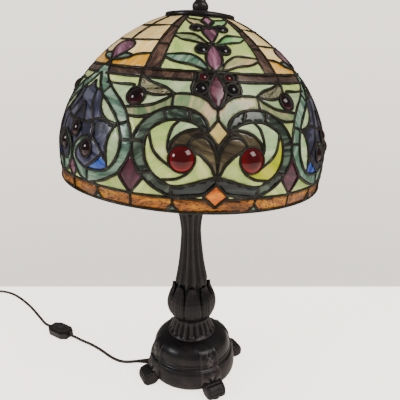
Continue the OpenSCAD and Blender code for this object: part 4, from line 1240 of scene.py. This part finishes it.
# ---------------------------------------------------------------- cord
CORD_R = 2.75
TO_SWITCH = [
    (-94.9, -34.5, 13.5), (-108, -38.2, 11.8), (-121, -38.6, 9), (-134, -35.8, 6.2),
    (-147, -31, 4.2), (-160, -25.4, 3.1), (-172, -19.8, 2.85), (-184, -14.4, 2.85),
    (-198, -8.8, 2.85), (-212, -4.2, 2.85), (-226, -0.6, 2.85), (-240, 2, 3.4),
    (-254, 4.3, 5.4), (-269.9, 6.3, 7)]
TO_COIL = [
    (-322.1, 20.3, 7), (-334, 24, 5.4), (-346, 30, 3.2), (-358, 37.5, 2.85),
    (-370, 45.5, 2.85), (-383, 54, 2.85), (-396, 62.5, 2.85), (-409, 70.8, 2.85),
    (-422, 78.6, 2.85), (-435, 85.8, 2.85), (-448, 92.5, 2.85), (-461, 98.8, 2.85),
    (-474, 104.6, 2.85), (-488, 110, 2.85), (-502, 114, 2.85), (-516, 116, 2.85),
    (-530, 116, 2.9), (-544, 113.4, 3), (-558, 109.4, 3.3), (-571, 105.6, 3.5),
    (-583, 103, 3.7)]
TO_PLUG = [(-629.6, 57, 14.2), (-629.6, 45, 12), (-628.6, 33, 9), (-626.6, 21, 7.1), (-624, 8, 6.5)]
COIL_AT = (-596, 69)
# Radius and height of each turn's line, in the order that the cord winds them
COIL_TURNS = [(32.8, 3.75), (27.2, 3.75), (27.2, 9.35), (32.8, 9.35), (27.2, 14.95), (32.8, 14.95)]
COIL_SWEEP = 5.25


def coil_line():
    """The wound part: angle = 90 + 360 k degrees, the radius and height stepping from one turn's
    to the next over the last sixth of each turn."""
    turn = np.linspace(0, COIL_SWEEP, int(COIL_SWEEP * 40) + 1)
    whole = np.minimum(turn.astype(int), len(COIL_TURNS) - 1)
    after = np.minimum(whole + 1, len(COIL_TURNS) - 1)
    ease = step_up(turn - whole, 0.84, 1.0)[:, None]
    size = np.array(COIL_TURNS)
    size = size[whole] * (1 - ease) + size[after] * ease
    angle = np.pi / 2 + 2 * np.pi * turn
    return np.stack([COIL_AT[0] + size[:, 0] * np.cos(angle), COIL_AT[1] + size[:, 0] * np.sin(angle),
                     size[:, 1]], -1)


def build_cord():
    """The whole cord as one round tube along its line, from the base through the switch and the
    wound part to the plug."""
    route = np.vstack([along(TO_SWITCH, 6), along([TO_SWITCH[-1], (-296, 13.3, 7), TO_COIL[0]], 6)[1:-1],
                       along(TO_COIL, 6), coil_line(), TO_PLUG])
    line = along(route, 3.2) * MM
    line[:, 2] = np.maximum(line[:, 2], (CORD_R + 0.1) * MM)
    points, faces = tube(line, CORD_R * MM, CORD_R * MM, sides=20)
    cord = mesh_piece("supply_cord", points, faces, CORD_FINISH, "lamp",
                      ["cord_to_switch", "cord_to_coil", "cord_coil", "cord_tail"])


build_cord()


# ---------------------------------------------------------------- looks of the parts shown as built
slot_of = {row["node"]: row["material_slot"] for row in frame["record"]["subparts"]}
for node_name, node in frame["nodes"].items():
    if node.hide_render:
        continue
    look = NODE_FINISH.get(slot_of[node_name])
    if look is not None:
        node.data.materials.clear()
        node.data.materials.append(look)


# ---------------------------------------------------------------- table, light and camera
TABLE_HALF, TABLE_NEAR, TABLE_FAR, TABLE_T = 2.4, -2.2, 0.304, 0.03
TABLE_LIT, TABLE_SEEN = 0.1, 2.7


def build_stage():
    """A pale table whose far edge shows behind the lamp."""
    c, s = math.cos(CAMERA_AZIMUTH), math.sin(CAMERA_AZIMUTH)
    turned = np.array([[c, -s], [s, c]])
    corners = np.array([(-TABLE_HALF, TABLE_NEAR), (TABLE_HALF, TABLE_NEAR), (TABLE_HALF, TABLE_FAR),
                        (-TABLE_HALF, TABLE_FAR)]) @ turned.T
    points = [(*p, z) for z in (0, -TABLE_T) for p in corners]
    faces = [(0, 1, 2, 3), (7, 6, 5, 4)] + [(k, (k + 1) % 4, (k + 1) % 4 + 4, k + 4) for k in range(4)]
    mesh = bpy.data.meshes.new("table")
    mesh.from_pydata(points, [], faces)
    top = plain_finish("pale_table", (236, 232, 226), (240, 236, 231), 3, 0.5, bump=0.0)
    glow = top.node_tree.nodes["Principled BSDF"].inputs
    glow["Emission Color"].default_value = linear((244, 234, 225))
    # Bright where it is looked at, and without lighting the lamp from below
    rays = top.node_tree.nodes.new("ShaderNodeLightPath")
    choose = top.node_tree.nodes.new("ShaderNodeMix")
    choose.inputs["A"].default_value, choose.inputs["B"].default_value = TABLE_LIT, TABLE_SEEN
    top.node_tree.links.new(rays.outputs["Is Camera Ray"], choose.inputs["Factor"])
    top.node_tree.links.new(choose.outputs["Result"], glow["Emission Strength"])
    mesh.materials.append(top)
    table = bpy.data.objects.new("table", mesh)
    bpy.context.scene.collection.objects.link(table)


build_stage()
world = bpy.data.worlds.new("pale_room")
world.use_nodes = True
bpy.context.scene.world = world
background = world.node_tree.nodes["Background"]
background.inputs["Color"].default_value = linear((232, 223, 214))
# The wall seen straight on is bright; what the lamp's skin mirrors of the room is mostly dark
seen_low, seen_high, mirrored, lit = 1.95, 2.6, 0.25, 1.22
add_node, join = world.node_tree.nodes.new, world.node_tree.links.new
rays, upward, fall = (add_node("ShaderNode" + kind) for kind in ("LightPath", "SeparateXYZ", "MapRange"))
join(add_node("ShaderNodeTexCoord").outputs["Generated"], upward.inputs["Vector"])
join(upward.outputs["Z"], fall.inputs["Value"])
for key, value in (("From Min", -0.42), ("From Max", 0.02), ("To Min", seen_low), ("To Max", seen_high)):
    fall.inputs[key].default_value = value
strength = lit
for ray, value in (("Is Glossy Ray", mirrored), ("Is Camera Ray", fall.outputs["Result"])):
    choose = add_node("ShaderNodeMix")
    join(rays.outputs[ray], choose.inputs["Factor"])
    for side, given in (("A", strength), ("B", value)):
        if isinstance(given, float):
            choose.inputs[side].default_value = given
        else:
            join(given, choose.inputs[side])
    strength = choose.outputs["Result"]
join(strength, background.inputs["Strength"])


def soft_light(name, at, target, size, power, colour):
    """A square softbox at a point, aimed at another."""
    light = bpy.data.lights.new(name, "AREA")
    light.size, light.energy, light.color = size, power, colour
    lamp = bpy.data.objects.new(name, light)
    lamp.location = at
    lamp.rotation_euler = (Vector(target) - Vector(at)).to_track_quat("-Z", "Y").to_euler()
    bpy.context.scene.collection.objects.link(lamp)


soft_light("ceiling_panel", (1.5, -0.5, 2.0), (0, 0, 0.3), 1.1, 26, (1, 0.97, 0.93))
soft_light("window", (-1.6, -1.5, 1.4), (0, 0, 0.4), 0.6, 17, (0.95, 0.97, 1))

camera_data = bpy.data.cameras.new("camera")
camera_data.lens, camera_data.sensor_width = LENS_MM, 36
camera = bpy.data.objects.new("camera", camera_data)
camera.location = CAMERA_AT
camera.rotation_euler = (math.pi / 2 - CAMERA_TILT, 0, CAMERA_AZIMUTH)
bpy.context.scene.collection.objects.link(camera)
bpy.context.scene.camera = camera
